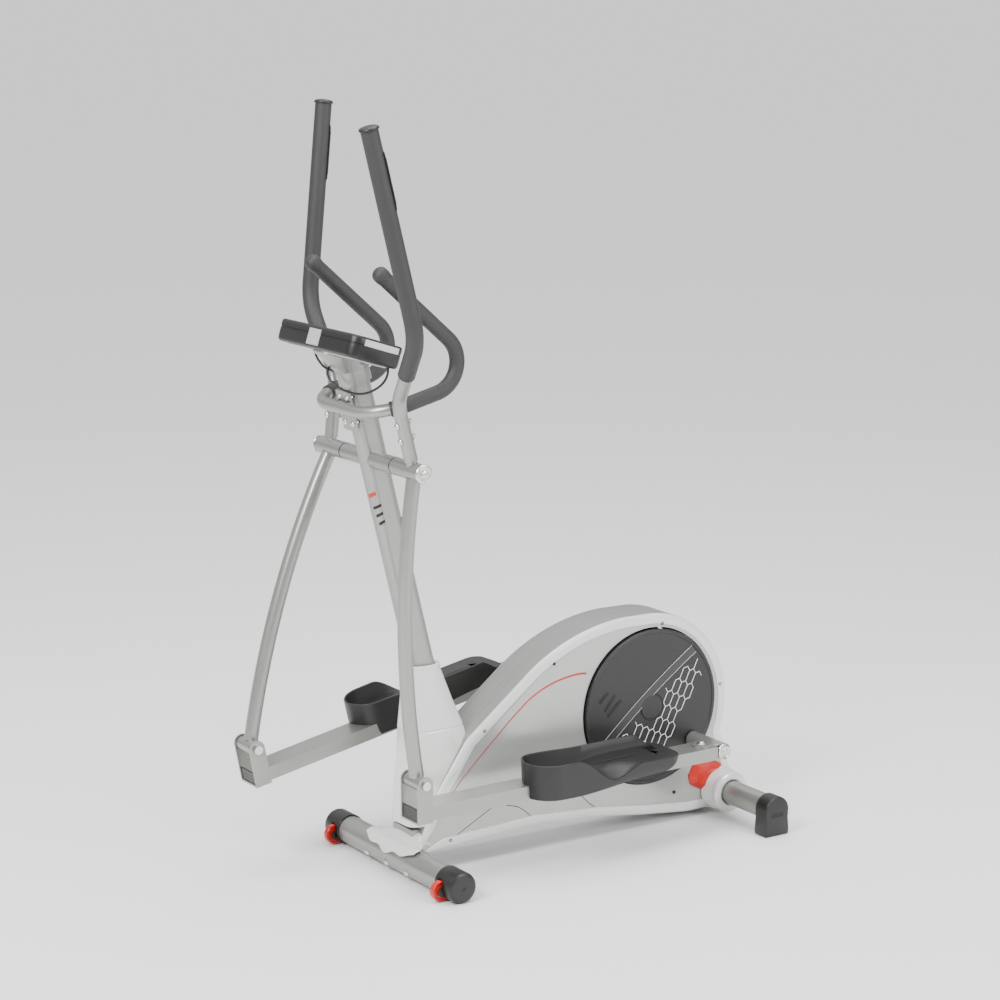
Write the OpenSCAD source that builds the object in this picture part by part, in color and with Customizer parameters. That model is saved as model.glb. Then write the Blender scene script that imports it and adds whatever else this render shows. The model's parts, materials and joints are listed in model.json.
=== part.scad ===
// Elliptical trainer. Width runs along X with the rider's left at +X, length along Y with
// the rider facing -Y, and height along Z. The origin is on the floor, under the middle
// of the machine. Lengths along Y are measured from the front stabilizer's axis.

/* [Overall] */
// Distance from the front stabilizer's axis to the origin
front_reach = 277; // [270:1:284]
// Distance between the two stabilizers
wheelbase = 802; // [795:1:810]

/* [Stabilizers] */
// Half of the front stabilizer's length over its end caps
front_half = 256; // [245:1:265]
// Front stabilizer tube's diameter
front_tube_d = 60; // [56:1:60]
// Diameter of the front end caps
front_cap_d = 66; // [66:1:70]
// Half of the rear stabilizer's length over its feet
rear_half = 264; // [255:1:272]
// Rear stabilizer tube's diameter
rear_tube_d = 54; // [50:1:54]
// Height of the rear stabilizer's axis
rear_axis_z = 57; // [56:1:58]
// Transport wheel diameter
wheel_d = 42; // [38:1:44]

/* [Crank] */
// Crank axle position along Y
crank_y = 609; // [607:1:611]
// Crank axle height
crank_z = 273; // [271:1:275]
// Crank radius
crank_r = 141.5; // [140:0.5:143]
// Left crank angle at rest, from the rear horizontal
crank_angle = -39; // [-42:0.5:-37]
// Diameter of the round side discs that turn with the cranks
disc_d = 346; // [340:1:348]

/* [Swing arms] */
// Swing arm pivot position along Y
hub_y = -56; // [-58:1:-54]
// Swing arm pivot height
hub_z = 880; // [878:1:882]
// Distance from the arm pivot down to the pedal pivot
arm_len = 641; // [638:1:644]
// Distance from the arm pivot up to the handle's end
handle_len = 708; // [700:1:712]
// Forward lean of the upper handles against the arms
handle_lean = 13.3; // [12:0.1:14]
// Swing arm tube diameter
arm_d = 30; // [28:1:32]
// Upper handle tube diameter
handle_d = 28; // [26:1:28]
// Foam grip diameter
grip_d = 35; // [34:1:38]

/* [Pedals] */
// Distance along the pedal tube from its front pivot to the crank pin
rod_y = 765; // [763:1:767]
// Drop from the pedal pivot to the crank pin, square to the pedal tube
rod_drop = 62.5; // [60:0.5:64]
// Pedal tube width
rod_w = 60; // [56:1:60]
// Pedal tube height
rod_h = 29; // [27:1:30]
// Pedal length
pedal_len = 368; // [355:1:375]
// Pedal width
pedal_w = 116; // [110:1:118]

/* [Mast and handlebar] */
// Backward slope of the mast, from vertical
mast_lean = 13.8; // [13.6:0.1:14]
// Mast depth along Y, across its oval section
mast_depth = 60; // [58:1:62]
// Mast width along X
mast_w = 40; // [38:1:42]
// Half of the spacing between the fixed grips
bar_half = 134; // [128:1:136]
// Fixed handlebar tube diameter
bar_d = 26; // [25:0.5:26]
// Foam diameter on the fixed handlebar
bar_grip_d = 31; // [30:0.5:32]

/* [Console] */
// Console width
console_w = 306; // [290:1:312]
// Console depth
console_l = 122; // [116:1:128]
// Console thickness
console_t = 46; // [42:1:48]
// Tilt of the console towards the rider
console_tilt = 18; // [17:0.1:19]

/* [Housing] */
// Half of the housing's width
shell_half = 56; // [55:1:58]
// Housing wall thickness
shell_wall = 3; // [2.5:0.5:3.5]
// Flywheel diameter
flywheel_d = 230; // [210:1:236]
// Crank pulley diameter
pulley_d = 276; // [260:1:280]

/* [Hidden] */
$fn = 64;

LEFT = 1;
RIGHT = -1;
silver = [0.72, 0.72, 0.71];
pale = [0.84, 0.84, 0.83];
black = [0.13, 0.13, 0.13];
red = [0.88, 0.16, 0.12];
steel = [0.60, 0.61, 0.63];

front_axis_z = front_cap_d / 2;

// Linkage at rest: the arm hangs where the arm and the pedal tube meet.
hub = [hub_y, hub_z];
rod_len = norm([rod_y, rod_drop]);
rod_base = -atan2(rod_drop, rod_y);
function crank_pin_at(side) =
    let (a = side == LEFT ? crank_angle : crank_angle + 180)
    [crank_y, crank_z] + crank_r * [cos(a), sin(a)];
function arm_swing(side) =
    let (v = crank_pin_at(side) - hub, d = norm(v))
    atan2(v[0], -v[1])
    - acos((arm_len * arm_len + d * d - rod_len * rod_len) / (2 * arm_len * d));
function pedal_pivot_at(side) =
    let (a = arm_swing(side)) hub + arm_len * [sin(a), -cos(a)];
function rod_slope(side) =
    let (v = crank_pin_at(side) - pedal_pivot_at(side)) atan2(v[1], v[0]) - rod_base;

// Places, measured across the machine
arm_x = 165;
rod_x = 154;
disc_face_x = 63;
pin_end_x = 181;
hub_cap_x = 207;
sleeve_d = 36;
cross_d = 36;
axle_d = 20;
fit_gap = 0.05;

// The mast's centre line
mast_ref = [-50, 876];
mast_bottom_z = 340;
mast_top_z = 1046;
function mast_y(z) = mast_ref[0] - (z - mast_ref[1]) * tan(mast_lean);

// The housing's side outline, in Y and Z
function arc(c, r, a0, a1, n) =
    [for (i = [0:n]) let (a = a0 + (a1 - a0) * i / n) c + r * [cos(a), sin(a)]];
function unit(v) = v / norm(v);
function left_normal(a, b) = let (d = unit(b - a)) [-d[1], d[0]];
function grown(p, d) =
    [for (i = [0:len(p) - 1])
        let (a = p[(i + len(p) - 1) % len(p)], b = p[i], c = p[(i + 1) % len(p)],
             n1 = left_normal(a, b), n2 = left_normal(b, c))
        b + d * (n1 + n2) / (1 + n1 * n2)];
rear_lobe = [wheelbase, 58];
housing_outline = concat(
    [[12, 42], [60, 160], [140, 273]],
    arc([560, 31], 450, 126, 92, 7),
    arc([603, 264], 216, 88, -20, 15),
    arc(rear_lobe, 44, 20, -90, 6),
    [[717, 13], [585, 28], [475, 44], [305, 55], [143, 47]]);

flywheel_at = [300, 222];
flywheel_small_d = 34;
belt_x = 18;
belt_w = 12;
idler_d = 26;

module at_machine() {
    translate([0, -front_reach, 0]) children();
}

// A side profile drawn in Y and Z, extruded from x0 to x1
module side_slab(x0, x1) {
    translate([x0, 0, 0]) rotate([90, 0, 90]) linear_extrude(x1 - x0) children();
}

module x_cyl(d, x0, x1) {
    translate([x0, 0, 0]) rotate([0, 90, 0]) cylinder(d = d, h = x1 - x0);
}

module x_ring(od, id, x0, x1) {
    difference() {
        x_cyl(od, x0, x1);
        x_cyl(id, x0 - 1, x1 + 1);
    }
}

// A bent round bar. Each step is [straight length, bend angle, bend radius, bend
// direction]. Straights run a little into the bends, slightly thinner, so they fuse cleanly.
lap = 2;
fuse_step = 0.3;
module bar_run_along(steps, d, i = 0) {
    s = steps[i];
    before = i > 0 ? lap : 0;
    after = s[1] > 0 ? lap : 0;
    if (s[0] > 0)
        translate([0, 0, -before]) cylinder(d = d - fuse_step, h = s[0] + before + after);
    if (s[1] > 0)
        translate([0, 0, s[0]]) rotate([0, 0, s[3]]) translate([s[2], 0, 0])
            rotate([90, 0, 0]) rotate([0, 0, 180 - s[1]])
            rotate_extrude(angle = s[1], $fn = 96) translate([s[2], 0]) circle(d = d);
    if (i + 1 < len(steps))
        translate([0, 0, s[0]]) rotate([0, 0, s[3]])
            translate([s[2] * (1 - cos(s[1])), 0, s[2] * sin(s[1])])
            rotate([0, s[1], 0]) rotate([0, 0, -s[3]])
            bar_run_along(steps, d, i + 1);
}
module tube_run(steps, od, id) {
    difference() {
        bar_run_along(steps, od);
        bar_run_along(steps, id);
    }
}

// Dome-head bolt along +Z, with its head's underside at z = 0
module dome_bolt(d, length, head_d) {
    translate([0, 0, -length]) cylinder(d = d, h = length + 1);
    intersection() {
        cylinder(d = head_d, h = head_d * 0.36);
        translate([0, 0, head_d * 0.36 - head_d * 0.56]) sphere(d = head_d * 1.12);
    }
}

module oval_2d(depth, width) {
    square([width, depth - width], center = true);
    for (s = [-1, 1]) translate([0, s * (depth - width) / 2]) circle(d = width);
}

// Draws along the mast's own axis, with its start at height z0
module on_mast(z0) {
    translate([0, mast_y(z0), z0]) rotate([mast_lean, 0, 0]) children();
}
mast_bore_depth = mast_depth - 4;
mast_bore_w = mast_w - 4;
post_top_z = 430;

module on_side(side) {
    if (side == LEFT) children();
    else mirror([1, 0, 0]) children();
}

// ---- Frame, stabilizers and feet ----

bolt_d = 8;
bolt_hole_d = 8.4;
stab_bolt_x = [-80, 0, 80];
stab_bolt_tilt = 24;
module stab_bolt_places() {
    for (x = stab_bolt_x)
        translate([x, 0, front_axis_z]) rotate([90 + stab_bolt_tilt, 0, 0])
            translate([0, 0, front_tube_d / 2]) children();
}

beam_w = 50;
beam_z = 62;
beam_h = 30;
beam_top = beam_z + beam_h;
saddle_half = 90;
saddle_t = 3;
saddle_block_half = 38;
brake_gap = 9;
brake_r = flywheel_d / 2 + brake_gap;
brake_pivot_r = brake_r + 7;
brake_pivot = flywheel_at + brake_pivot_r * [cos(205), sin(205)];
brake_pin_d = 8;
idler_pin_d = 8;
belt_gap = 0.4;
belt_t = 2.5;
pulley_at = [crank_y, crank_z];
pulley_gap = pulley_at - flywheel_at;
belt_base = atan2(pulley_gap[1], pulley_gap[0]);
belt_wrap = 180 - acos((pulley_d - flywheel_small_d) / 2 / norm(pulley_gap));
belt_dir = [cos(belt_base - belt_wrap), sin(belt_base - belt_wrap)];
belt_low_end = flywheel_at + flywheel_small_d / 2 * belt_dir;
belt_far_end = pulley_at + pulley_d / 2 * belt_dir;
idler_at = belt_low_end + 0.45 * (belt_far_end - belt_low_end)
    + (belt_gap * 2 + belt_t + idler_d / 2) * belt_dir;
fork_x = [-26, 36];
fork_t = 6;
shaft_d = 17;
bearing_od = 42;
bearing_x = [-28, 4];
bearing_w = 10;

module main_frame() at_machine() color(silver) {
    // backbone with its two saddles
    difference() {
        union() {
            translate([-beam_w / 2, 30, beam_z]) cube([beam_w, wheelbase - 45, beam_h]);
            intersection() {
                translate([0, 0, front_axis_z])
                    x_cyl(front_tube_d + 2 * saddle_t, -saddle_half, saddle_half);
                translate([-saddle_half, 0, front_axis_z - 6])
                    cube([2 * saddle_half, front_tube_d, front_tube_d]);
            }
            translate([-saddle_block_half, 12, front_axis_z])
                cube([2 * saddle_block_half, 28, beam_top - front_axis_z]);
            translate([-saddle_block_half, wheelbase - 40, rear_axis_z])
                cube([2 * saddle_block_half, 40, beam_top - rear_axis_z]);
            on_mast(beam_top - 4) linear_extrude((post_top_z - beam_top) / cos(mast_lean))
                oval_2d(mast_bore_depth - 1, mast_bore_w - 1);
        }
        translate([0, 0, front_axis_z]) x_cyl(front_tube_d + 2 * fit_gap, -99, 99);
        translate([0, wheelbase, rear_axis_z]) x_cyl(rear_tube_d + 2 * fit_gap, -99, 99);
        on_mast(beam_top + 20) linear_extrude(post_top_z)
            oval_2d(mast_bore_depth - 6, mast_bore_w - 6);
        stab_bolt_places() translate([0, 0, -120]) cylinder(d = bolt_hole_d, h = 130);
    }
    // crank bearing housing on two uprights
    difference() {
        union() {
            for (x = [-28, 8])
                translate([x, crank_y - 24, beam_top - 4]) cube([6, 48, crank_z - beam_top]);
            translate([0, crank_y, crank_z]) x_cyl(bearing_od + 10, -28, 14);
        }
        translate([0, crank_y, crank_z]) x_cyl(bearing_od, -29, 15);
    }
    // flywheel fork
    difference() {
        union() {
            for (x = fork_x)
                translate([x, flywheel_at[0] - 16, beam_top - 4])
                    cube([fork_t, 32, flywheel_at[1] - beam_top + 20]);
            translate([fork_x[0], flywheel_at[0] - 16, beam_top - 4])
                cube([fork_x[1] - fork_x[0] + fork_t, 32, 6]);
        }
        translate([0, flywheel_at[0], flywheel_at[1]])
            x_cyl(shaft_d + 2 * fit_gap, fork_x[0] - 1, fork_x[1] + fork_t + 1);
    }
    // idler arm with its pin
    translate([20, idler_at[0] - 10, beam_top - 4]) cube([18, 20, 6]);
    translate([33, idler_at[0] - 10, beam_top - 4]) cube([5, 20, idler_at[1] - beam_top + 14]);
    translate([0, idler_at[0], idler_at[1]]) x_cyl(idler_pin_d, belt_x - 1, 35);
    // brake pivot post with its pin
    translate([-26, brake_pivot[0] - 9, beam_top - 4])
        cube([6, 18, brake_pivot[1] - beam_top + 13]);
    translate([0, brake_pivot[0], brake_pivot[1]]) x_cyl(brake_pin_d, -22, 14);
}

module front_stabilizer() at_machine() color(silver)
    difference() {
        translate([0, 0, front_axis_z]) x_ring(front_tube_d, front_tube_d - 4, -202, 202);
        stab_bolt_places() translate([0, 0, -120]) cylinder(d = bolt_hole_d, h = 130);
    }

rear_foot_w = 40;
module rear_stabilizer() at_machine() color(silver)
    translate([0, wheelbase, rear_axis_z])
        x_ring(rear_tube_d, rear_tube_d - 4, 20 - rear_half, rear_half - 20);

wheel_at = [-31, wheel_d / 2 + 3];
wheel_x = 209;
wheel_w = 14;
wheel_pin_d = 8;
module front_end_caps() at_machine() color(black)
    for (side = [LEFT, RIGHT]) on_side(side)
        difference() {
            union() {
                translate([0, 0, front_axis_z]) x_cyl(front_cap_d, 196, front_half);
                translate([0, wheel_at[0], wheel_at[1]])
                    x_cyl(22, wheel_x - 8, wheel_x + wheel_w + 8);
            }
            translate([0, 0, front_axis_z]) x_cyl(front_tube_d + 2 * fit_gap, 195, 205);
            translate([0, wheel_at[0], wheel_at[1]]) {
                x_cyl(wheel_d + 6, wheel_x - 1.5, wheel_x + wheel_w + 1.5);
                x_cyl(wheel_pin_d + 2 * fit_gap, wheel_x - 9, wheel_x + wheel_w + 9);
            }
        }

module transport_wheel(side) at_machine() color(red) on_side(side)
    translate([0, wheel_at[0], wheel_at[1]]) {
        x_cyl(wheel_d, wheel_x, wheel_x + wheel_w);
        x_cyl(wheel_pin_d, wheel_x - 6, wheel_x + wheel_w + 6);
    }

foot_len = 66;
foot_socket = 20;
module rear_feet() at_machine() color(black)
    for (side = [LEFT, RIGHT]) on_side(side)
        translate([0, wheelbase, 0]) difference() {
            side_slab(rear_half - rear_foot_w, rear_half) {
                translate([-foot_len / 2, 0]) square([foot_len, rear_axis_z]);
                translate([0, rear_axis_z]) circle(d = foot_len);
            }
            translate([0, 0, rear_axis_z])
                x_cyl(rear_tube_d + 2 * fit_gap, rear_half - rear_foot_w - 1,
                      rear_half - rear_foot_w + foot_socket);
            translate([rear_half - 6, -18, 44]) cube([10, 36, 8]);
        }

// Carriage bolts of the stabilizer and the cap screws that hold the handlebar bracket
bar_plate_z = 950;
bar_plate_h = 84;
bar_screw_z = [966, 1018];
bar_screw_x = 15;
bar_plate_t = 5;
module bar_screw_places() {
    for (z = bar_screw_z, x = [-bar_screw_x, bar_screw_x])
        on_mast(z) translate([x, -mast_depth / 2 - bar_plate_t, 0]) rotate([90, 0, 0])
            children();
}
module frame_bolts() at_machine() color(steel) {
    stab_bolt_places() dome_bolt(bolt_d, front_tube_d + saddle_t, 15);
    bar_screw_places() dome_bolt(6, 12, 12);
}

// ---- Housing ----

// Each screw's place in Y and Z, and where its post starts, clear of the frame
post_clear_x = beam_w / 2 + 3;
screw_places = [[180, 285, post_clear_x], [356, 405, 0.3], [640, 455, 0.3], [801, 295, 0.3],
                [678, 66, post_clear_x], [95, 62, post_clear_x]];
screw_head_d = 7.4;
module housing_shell(side) at_machine() color(pale) on_side(side)
    difference() {
        union() {
            difference() {
                side_slab(0.3, shell_half) polygon(housing_outline);
                side_slab(-1, shell_half - shell_wall)
                    polygon(grown(housing_outline, -shell_wall));
            }
            for (p = screw_places)
                translate([0, p[0], p[1]]) x_cyl(10, p[2], shell_half - 1);
        }
        translate([0, crank_y, crank_z]) x_cyl(disc_d + 8, shell_half - 10, shell_half + 1);
        translate([0, wheelbase, rear_axis_z]) x_cyl(rear_tube_d + 1, -1, shell_half + 1);
        on_mast(60) linear_extrude(500) oval_2d(mast_depth + 4, mast_w + 4);
        translate([-1, 0, 30]) cube([shell_half - 2, 66, 66]);
        translate([0, 0, front_axis_z])
            x_cyl(front_tube_d + 2 * saddle_t + 2, -1, shell_half + 1);
        for (p = screw_places) translate([0, p[0], p[1]]) {
            x_cyl(4.4, -1, shell_half + 1);
            x_cyl(screw_head_d + 0.6, shell_half - 3, shell_half + 1);
        }
    }

module housing_screws() at_machine() color(black)
    for (side = [LEFT, RIGHT], p = screw_places) on_side(side)
        translate([0, p[0], p[1]]) {
            x_cyl(4, shell_half - 26, shell_half - 2);
            x_cyl(screw_head_d, shell_half - 2.8, shell_half - 0.4);
        }

module shroud_body(inset) {
    hull() {
        translate([0, 0, 98]) linear_extrude(1)
            for (x = [-1, 1], y = [36, 150])
                translate([x * 22, y]) circle(r = 34 - inset, $fn = 32);
        translate([0, 0, 240]) linear_extrude(1)
            for (x = [-1, 1], y = [38, 140])
                translate([x * 16, y]) circle(r = 33 - inset, $fn = 32);
        on_mast(438) linear_extrude(0.5)
            oval_2d(mast_depth + 20 - 2 * inset, mast_w + 20 - 2 * inset, $fn = 32);
    }
}
module mast_shroud() at_machine() color(pale)
    difference() {
        shroud_body(0);
        difference() {
            shroud_body(shell_wall);
            translate([-60, -20, 430]) cube([120, 200, 30]);
        }
        translate([-80, -20, 97]) cube([160, 240, 3]);
        side_slab(-shell_half - 1, shell_half + 1) polygon(grown(housing_outline, 0.5));
        on_mast(300) linear_extrude(300) oval_2d(mast_depth + 1, mast_w + 1);
    }

module skirt_body(inset) {
    hull() {
        translate([0, 0, front_axis_z])
            x_cyl(2 * (front_tube_d / 2 + 7 - inset), -98 + inset, 98 - inset, $fn = 32);
        translate([-50 + inset, 10, 90]) cube([100 - 2 * inset, 90, 7 - inset]);
    }
}
module front_skirt() at_machine() color(pale)
    difference() {
        skirt_body(0);
        skirt_body(shell_wall);
        translate([-120, -60, -20]) cube([240, 300, 20 + front_axis_z + 9]);
        translate([0, 0, front_axis_z]) x_cyl(front_tube_d + 1, -100, 100);
        side_slab(-shell_half - 1, shell_half + 1) polygon(grown(housing_outline, 0.5));
        translate([-30, 20, 60]) cube([60, 100, 60]);
    }

collar_x = shell_half + 0.02;
collar_bore_r = rear_tube_d / 2 + fit_gap;
module rear_collars() at_machine() color(pale)
    for (side = [LEFT, RIGHT]) on_side(side)
        translate([collar_x, wheelbase, rear_axis_z]) rotate([90, 0, 90])
            rotate_extrude(angle = 360)
            polygon([[collar_bore_r, 0], [50, 0], [44, 32], [46, 34], [46, 44], [42, 48],
                     [collar_bore_r, 48]]);

module side_inserts() at_machine() color(red)
    for (side = [LEFT, RIGHT]) on_side(side)
        difference() {
            side_slab(collar_x, collar_x + 14)
                polygon([[698, 84], [722, 122], [770, 132], [800, 118], [776, 60]]);
            translate([0, wheelbase, rear_axis_z]) x_cyl(100.4, 50, 90);
        }

// ---- Mast, fixed handlebar and console ----

knob_z = 725;
knob_shaft_d = 8;
module mast() at_machine() color(silver)
    difference() {
        union() {
            on_mast(mast_bottom_z) linear_extrude((mast_top_z - mast_bottom_z) / cos(mast_lean))
                oval_2d(mast_depth, mast_w);
            translate([0, hub_y, hub_z]) x_cyl(cross_d, -97, 97);
        }
        difference() {
            on_mast(mast_bottom_z - 5) linear_extrude(900)
                oval_2d(mast_bore_depth, mast_bore_w);
            translate([0, hub_y, hub_z]) x_cyl(cross_d, -97, 97);
        }
        translate([0, hub_y, hub_z]) x_cyl(axle_d, -98, 98);
        on_mast(knob_z) rotate([-90, 0, 0]) cylinder(d = knob_shaft_d + 2 * fit_gap, h = 50);
        bar_screw_places() translate([0, 0, -20]) cylinder(d = 6.6, h = 30);
    }

module pivot_axle() at_machine() color(steel)
    translate([0, hub_y, hub_z]) x_cyl(axle_d, -201.5, 201.5);

module hub_caps() at_machine() color(steel)
    for (side = [LEFT, RIGHT]) on_side(side) translate([0, hub_y, hub_z]) {
        x_cyl(38, 201.6, 206);
        x_cyl(14, 206, hub_cap_x + 4);
    }

knob_d = 36;
knob_h = 14;
module resistance_knob() at_machine() color(black)
    on_mast(knob_z) rotate([-90, 0, 0]) {
        translate([0, 0, mast_bore_depth / 2 - 4]) cylinder(d = knob_shaft_d, h = 14);
        translate([0, 0, mast_depth / 2 + 1]) cylinder(d = knob_d, h = knob_h);
        translate([-4, -knob_d / 2 + 2, mast_depth / 2 + knob_h]) cube([8, knob_d - 4, 6]);
    }

bow_at = [0, -122.5, 990];
bow_tilt = 14;
bow_bend_r = 80;
bow_straight = bar_half - bow_bend_r;
bar_run = 65;
hook_r = 62;
hook_bend = 124.5;
bar_end_run = 206;
bar_wall = 2;
bar_foam_start = 62;
bow_steps = [[0, 90, bow_bend_r, 90], [bar_run, hook_bend, hook_r, 180], [bar_end_run, 0, 0, 0]];
module on_bow() {
    for (side = [LEFT, RIGHT]) on_side(side)
        translate(bow_at) rotate([bow_tilt, 0, 0]) translate([bow_straight, 0, 0])
            rotate([0, 90, 0]) children();
}
module bow_bar(d) {
    on_bow() bar_run_along(bow_steps, d);
    translate(bow_at) x_cyl(d - fuse_step, -bow_straight - lap, bow_straight + lap);
}
module fixed_handlebar() at_machine() color(silver)
    difference() {
        union() {
            bow_bar(bar_d);
            on_mast(bar_plate_z) translate([-26, -mast_depth / 2 - bar_plate_t, 0])
                cube([52, bar_plate_t, bar_plate_h]);
        }
        bow_bar(bar_d - 2 * bar_wall);
        bar_screw_places() translate([0, 0, -20]) cylinder(d = 6.6, h = 30);
    }

module fixed_bar_grips() at_machine() color(black)
    on_bow() rotate([0, 0, 90])
        translate([bow_bend_r * (1 - cos(bar_foam_start)), 0, bow_bend_r * sin(bar_foam_start)])
        rotate([0, bar_foam_start, 0]) rotate([0, 0, -90])
        tube_run([[0, 90 - bar_foam_start, bow_bend_r, 90], [bar_run, hook_bend, hook_r, 180],
                  [bar_end_run, 0, 0, 0]], bar_grip_d, bar_d + 2 * fit_gap);

console_at = [0, -127, 1119];
module on_console() {
    translate(console_at) rotate([-console_tilt, 0, 0]) children();
}
module console_outline(inset) {
    r = 22;
    for (x = [-1, 1], y = [-1, 1])
        translate([x * (console_w / 2 - r), y * (console_l / 2 - r)]) circle(r = r - inset);
    square([console_w - 2 * r, console_l - 2 * inset], center = true);
    square([console_w - 2 * inset, console_l - 2 * r], center = true);
}
face_t = 8;
face_skin = 3;
screen_depth = 1.2;
button_d = 14;
button_x = [-26, 26];
button_y = console_l / 2 - 15;
module console_case() at_machine() color(black)
    on_console() difference() {
        translate([0, 0, -console_t / 2]) linear_extrude(console_t - face_t) console_outline(0);
        translate([0, 0, 3 - console_t / 2]) linear_extrude(console_t) console_outline(3);
    }

module console_face() at_machine() color(black)
    on_console() difference() {
        translate([0, 0, console_t / 2 - face_t]) linear_extrude(face_t) console_outline(0);
        translate([0, 0, console_t / 2 - face_t - 1]) 
            linear_extrude(face_t - face_skin + 1) console_outline(5);
        translate([-60, -42, console_t / 2 - screen_depth]) cube([120, 62, 5]);
        for (x = button_x) translate([x, button_y, 0])
            cylinder(d = button_d + 0.8, h = console_t);
    }

module console_button(x) at_machine() color(silver)
    on_console() translate([x, button_y, console_t / 2 - face_skin - 2.6]) {
        cylinder(d = button_d, h = 8);
        cylinder(d = button_d + 4, h = 2.5);
    }

module console_bracket() at_machine() color(silver)
    difference() {
        union() {
            on_mast(1040) linear_extrude(28) oval_2d(mast_depth + 10, mast_w + 10);
            hull() {
                on_mast(1064) linear_extrude(1) oval_2d(mast_depth + 6, mast_w + 6, $fn = 32);
                on_console() translate([0, 0, -console_t / 2 - 4]) linear_extrude(4)
                    oval_2d(96, 84, $fn = 32);
            }
        }
        on_mast(1030) linear_extrude(26) oval_2d(mast_depth + 0.2, mast_w + 0.2);
        on_mast(1050) linear_extrude(10) oval_2d(mast_depth - 6, mast_w - 6);
    }

// Free cables of the pulse sensors: each is a round tube swept along its route
cable_d = 5;
pulse_route = [[-12, -122, 1076], [-14, -134, 1074], [-14, -144, 1069], [-10, -149, 1060],
    [-2, -149, 1050], [10, -145, 1041], [24, -140, 1034], [42, -134, 1029], [60, -128, 1027],
    [78, -122, 1028], [96, -115, 1033], [111, -108, 1041], [122, -101, 1051], [128, -95, 1063],
    [130, -92, 1076], [129, -92, 1090]];
lead_route = [[-83, -136, 1108], [-84, -135, 1100], [-84, -134, 1091], [-80, -132, 1081],
    [-72, -130, 1073], [-62, -128, 1066], [-50, -125, 1062], [-40, -121, 1060],
    [-28, -116, 1060], [-18, -112, 1062]];
function along(p, i) = unit(p[min(i + 1, len(p) - 1)] - p[max(i - 1, 0)]);
function ring_at(p, i, r) =
    let (t = along(p, i), a = unit(cross(t, [0, 1, 0.2])), b = cross(t, a))
    [for (k = [0:7]) p[i] + r * (cos(45 * k) * a + sin(45 * k) * b)];
module cable(p) {
    n = len(p);
    polyhedron(
        points = [for (i = [0:n - 1]) each ring_at(p, i, cable_d / 2)],
        faces = concat([[for (k = [0:7]) k]],
            [for (i = [0:n - 2], k = [0:7])
                [8 * i + k, 8 * i + 8 + k, 8 * i + 8 + (k + 1) % 8, 8 * i + (k + 1) % 8]],
            [[for (k = [7:-1:0]) 8 * (n - 1) + k]]));
}
module pulse_cable() at_machine() color(black) cable(pulse_route);

module sensor_lead() at_machine() color(black) cable(lead_route);

// ---- Drive ----

module crank_bearings() at_machine() color(steel)
    for (x = bearing_x) translate([0, crank_y, crank_z])
        x_ring(bearing_od - 0.02, axle_d + 2 * fit_gap, x, x + bearing_w);

module brake_magnets() at_machine() color(steel)
    difference() {
        union() {
            translate([0, flywheel_at[0], flywheel_at[1]]) side_slab(-14, 12)
                intersection() {
                    difference() {
                        circle(r = brake_r + 6);
                        circle(r = brake_r);
                    }
                    polygon([for (a = [0, 120, 162, 205]) (a > 0 ? 250 : 0) * [cos(a), sin(a)]]);
                }
            translate([0, brake_pivot[0], brake_pivot[1]]) x_cyl(18, -14, 12);
        }
        translate([0, brake_pivot[0], brake_pivot[1]])
            x_cyl(brake_pin_d + 2 * fit_gap, -20, 20);
    }

function belt_line(e) = concat(
    arc(pulley_at, pulley_d / 2 + e, belt_base - belt_wrap, belt_base + belt_wrap, 36),
    arc(flywheel_at, flywheel_small_d / 2 + e, belt_base + belt_wrap,
        belt_base + 360 - belt_wrap, 12));
module drive_belt() at_machine() color(black)
    side_slab(belt_x, belt_x + belt_w) difference() {
        polygon(belt_line(belt_gap + belt_t));
        polygon(belt_line(belt_gap));
    }

module idler_roller() at_machine() color(steel)
    translate([0, idler_at[0], idler_at[1]])
        x_ring(idler_d, idler_pin_d + 2 * fit_gap, belt_x, belt_x + belt_w);

module flywheel() at_machine() color(steel)
    translate([0, flywheel_at[0], flywheel_at[1]]) {
        difference() {
            x_cyl(flywheel_d, -14, 12);
            x_ring(flywheel_d - 50, 50, -15, -5);
            x_ring(flywheel_d - 50, 50, 3, 13);
        }
        x_cyl(shaft_d, fork_x[0] - 1, fork_x[1] + fork_t + 1);
        x_cyl(flywheel_small_d, belt_x, belt_x + belt_w);
    }

module crank_pulley() at_machine() color(black)
    translate([0, crank_y, crank_z]) difference() {
        x_cyl(pulley_d, belt_x, belt_x + belt_w);
        x_ring(pulley_d - 20, 44, belt_x - 1, belt_x + 4);
        x_ring(pulley_d - 20, 44, belt_x + 8, belt_x + belt_w + 1);
        x_cyl(axle_d, 0, 60);
    }

crank_x = 38;
crank_t = 12;
module crank_axle() at_machine() color(steel)
    translate([0, crank_y, crank_z]) x_cyl(axle_d, -crank_x - crank_t, crank_x + crank_t);

module crank_arms() at_machine() color(steel)
    for (side = [LEFT, RIGHT]) on_side(side)
        translate([0, crank_y, crank_z])
            rotate([side == LEFT ? crank_angle : crank_angle + 180, 0, 0])
            difference() {
                union() {
                    x_cyl(44, crank_x, crank_x + crank_t);
                    translate([0, crank_r, 0]) x_cyl(34, crank_x, crank_x + crank_t);
                    translate([crank_x, 0, -15]) cube([crank_t, crank_r, 30]);
                }
                x_cyl(axle_d, crank_x - 1, crank_x + crank_t + 1);
            }

module side_disc(side) at_machine() color(black) on_side(side)
    translate([0, crank_y, crank_z]) difference() {
        x_cyl(disc_d, crank_x + crank_t, disc_face_x);
        x_ring(disc_d - 8, 70, crank_x + crank_t - 1, disc_face_x - 5);
    }

// ---- Swing arms, in a frame whose origin is the arm pivot ----

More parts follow.
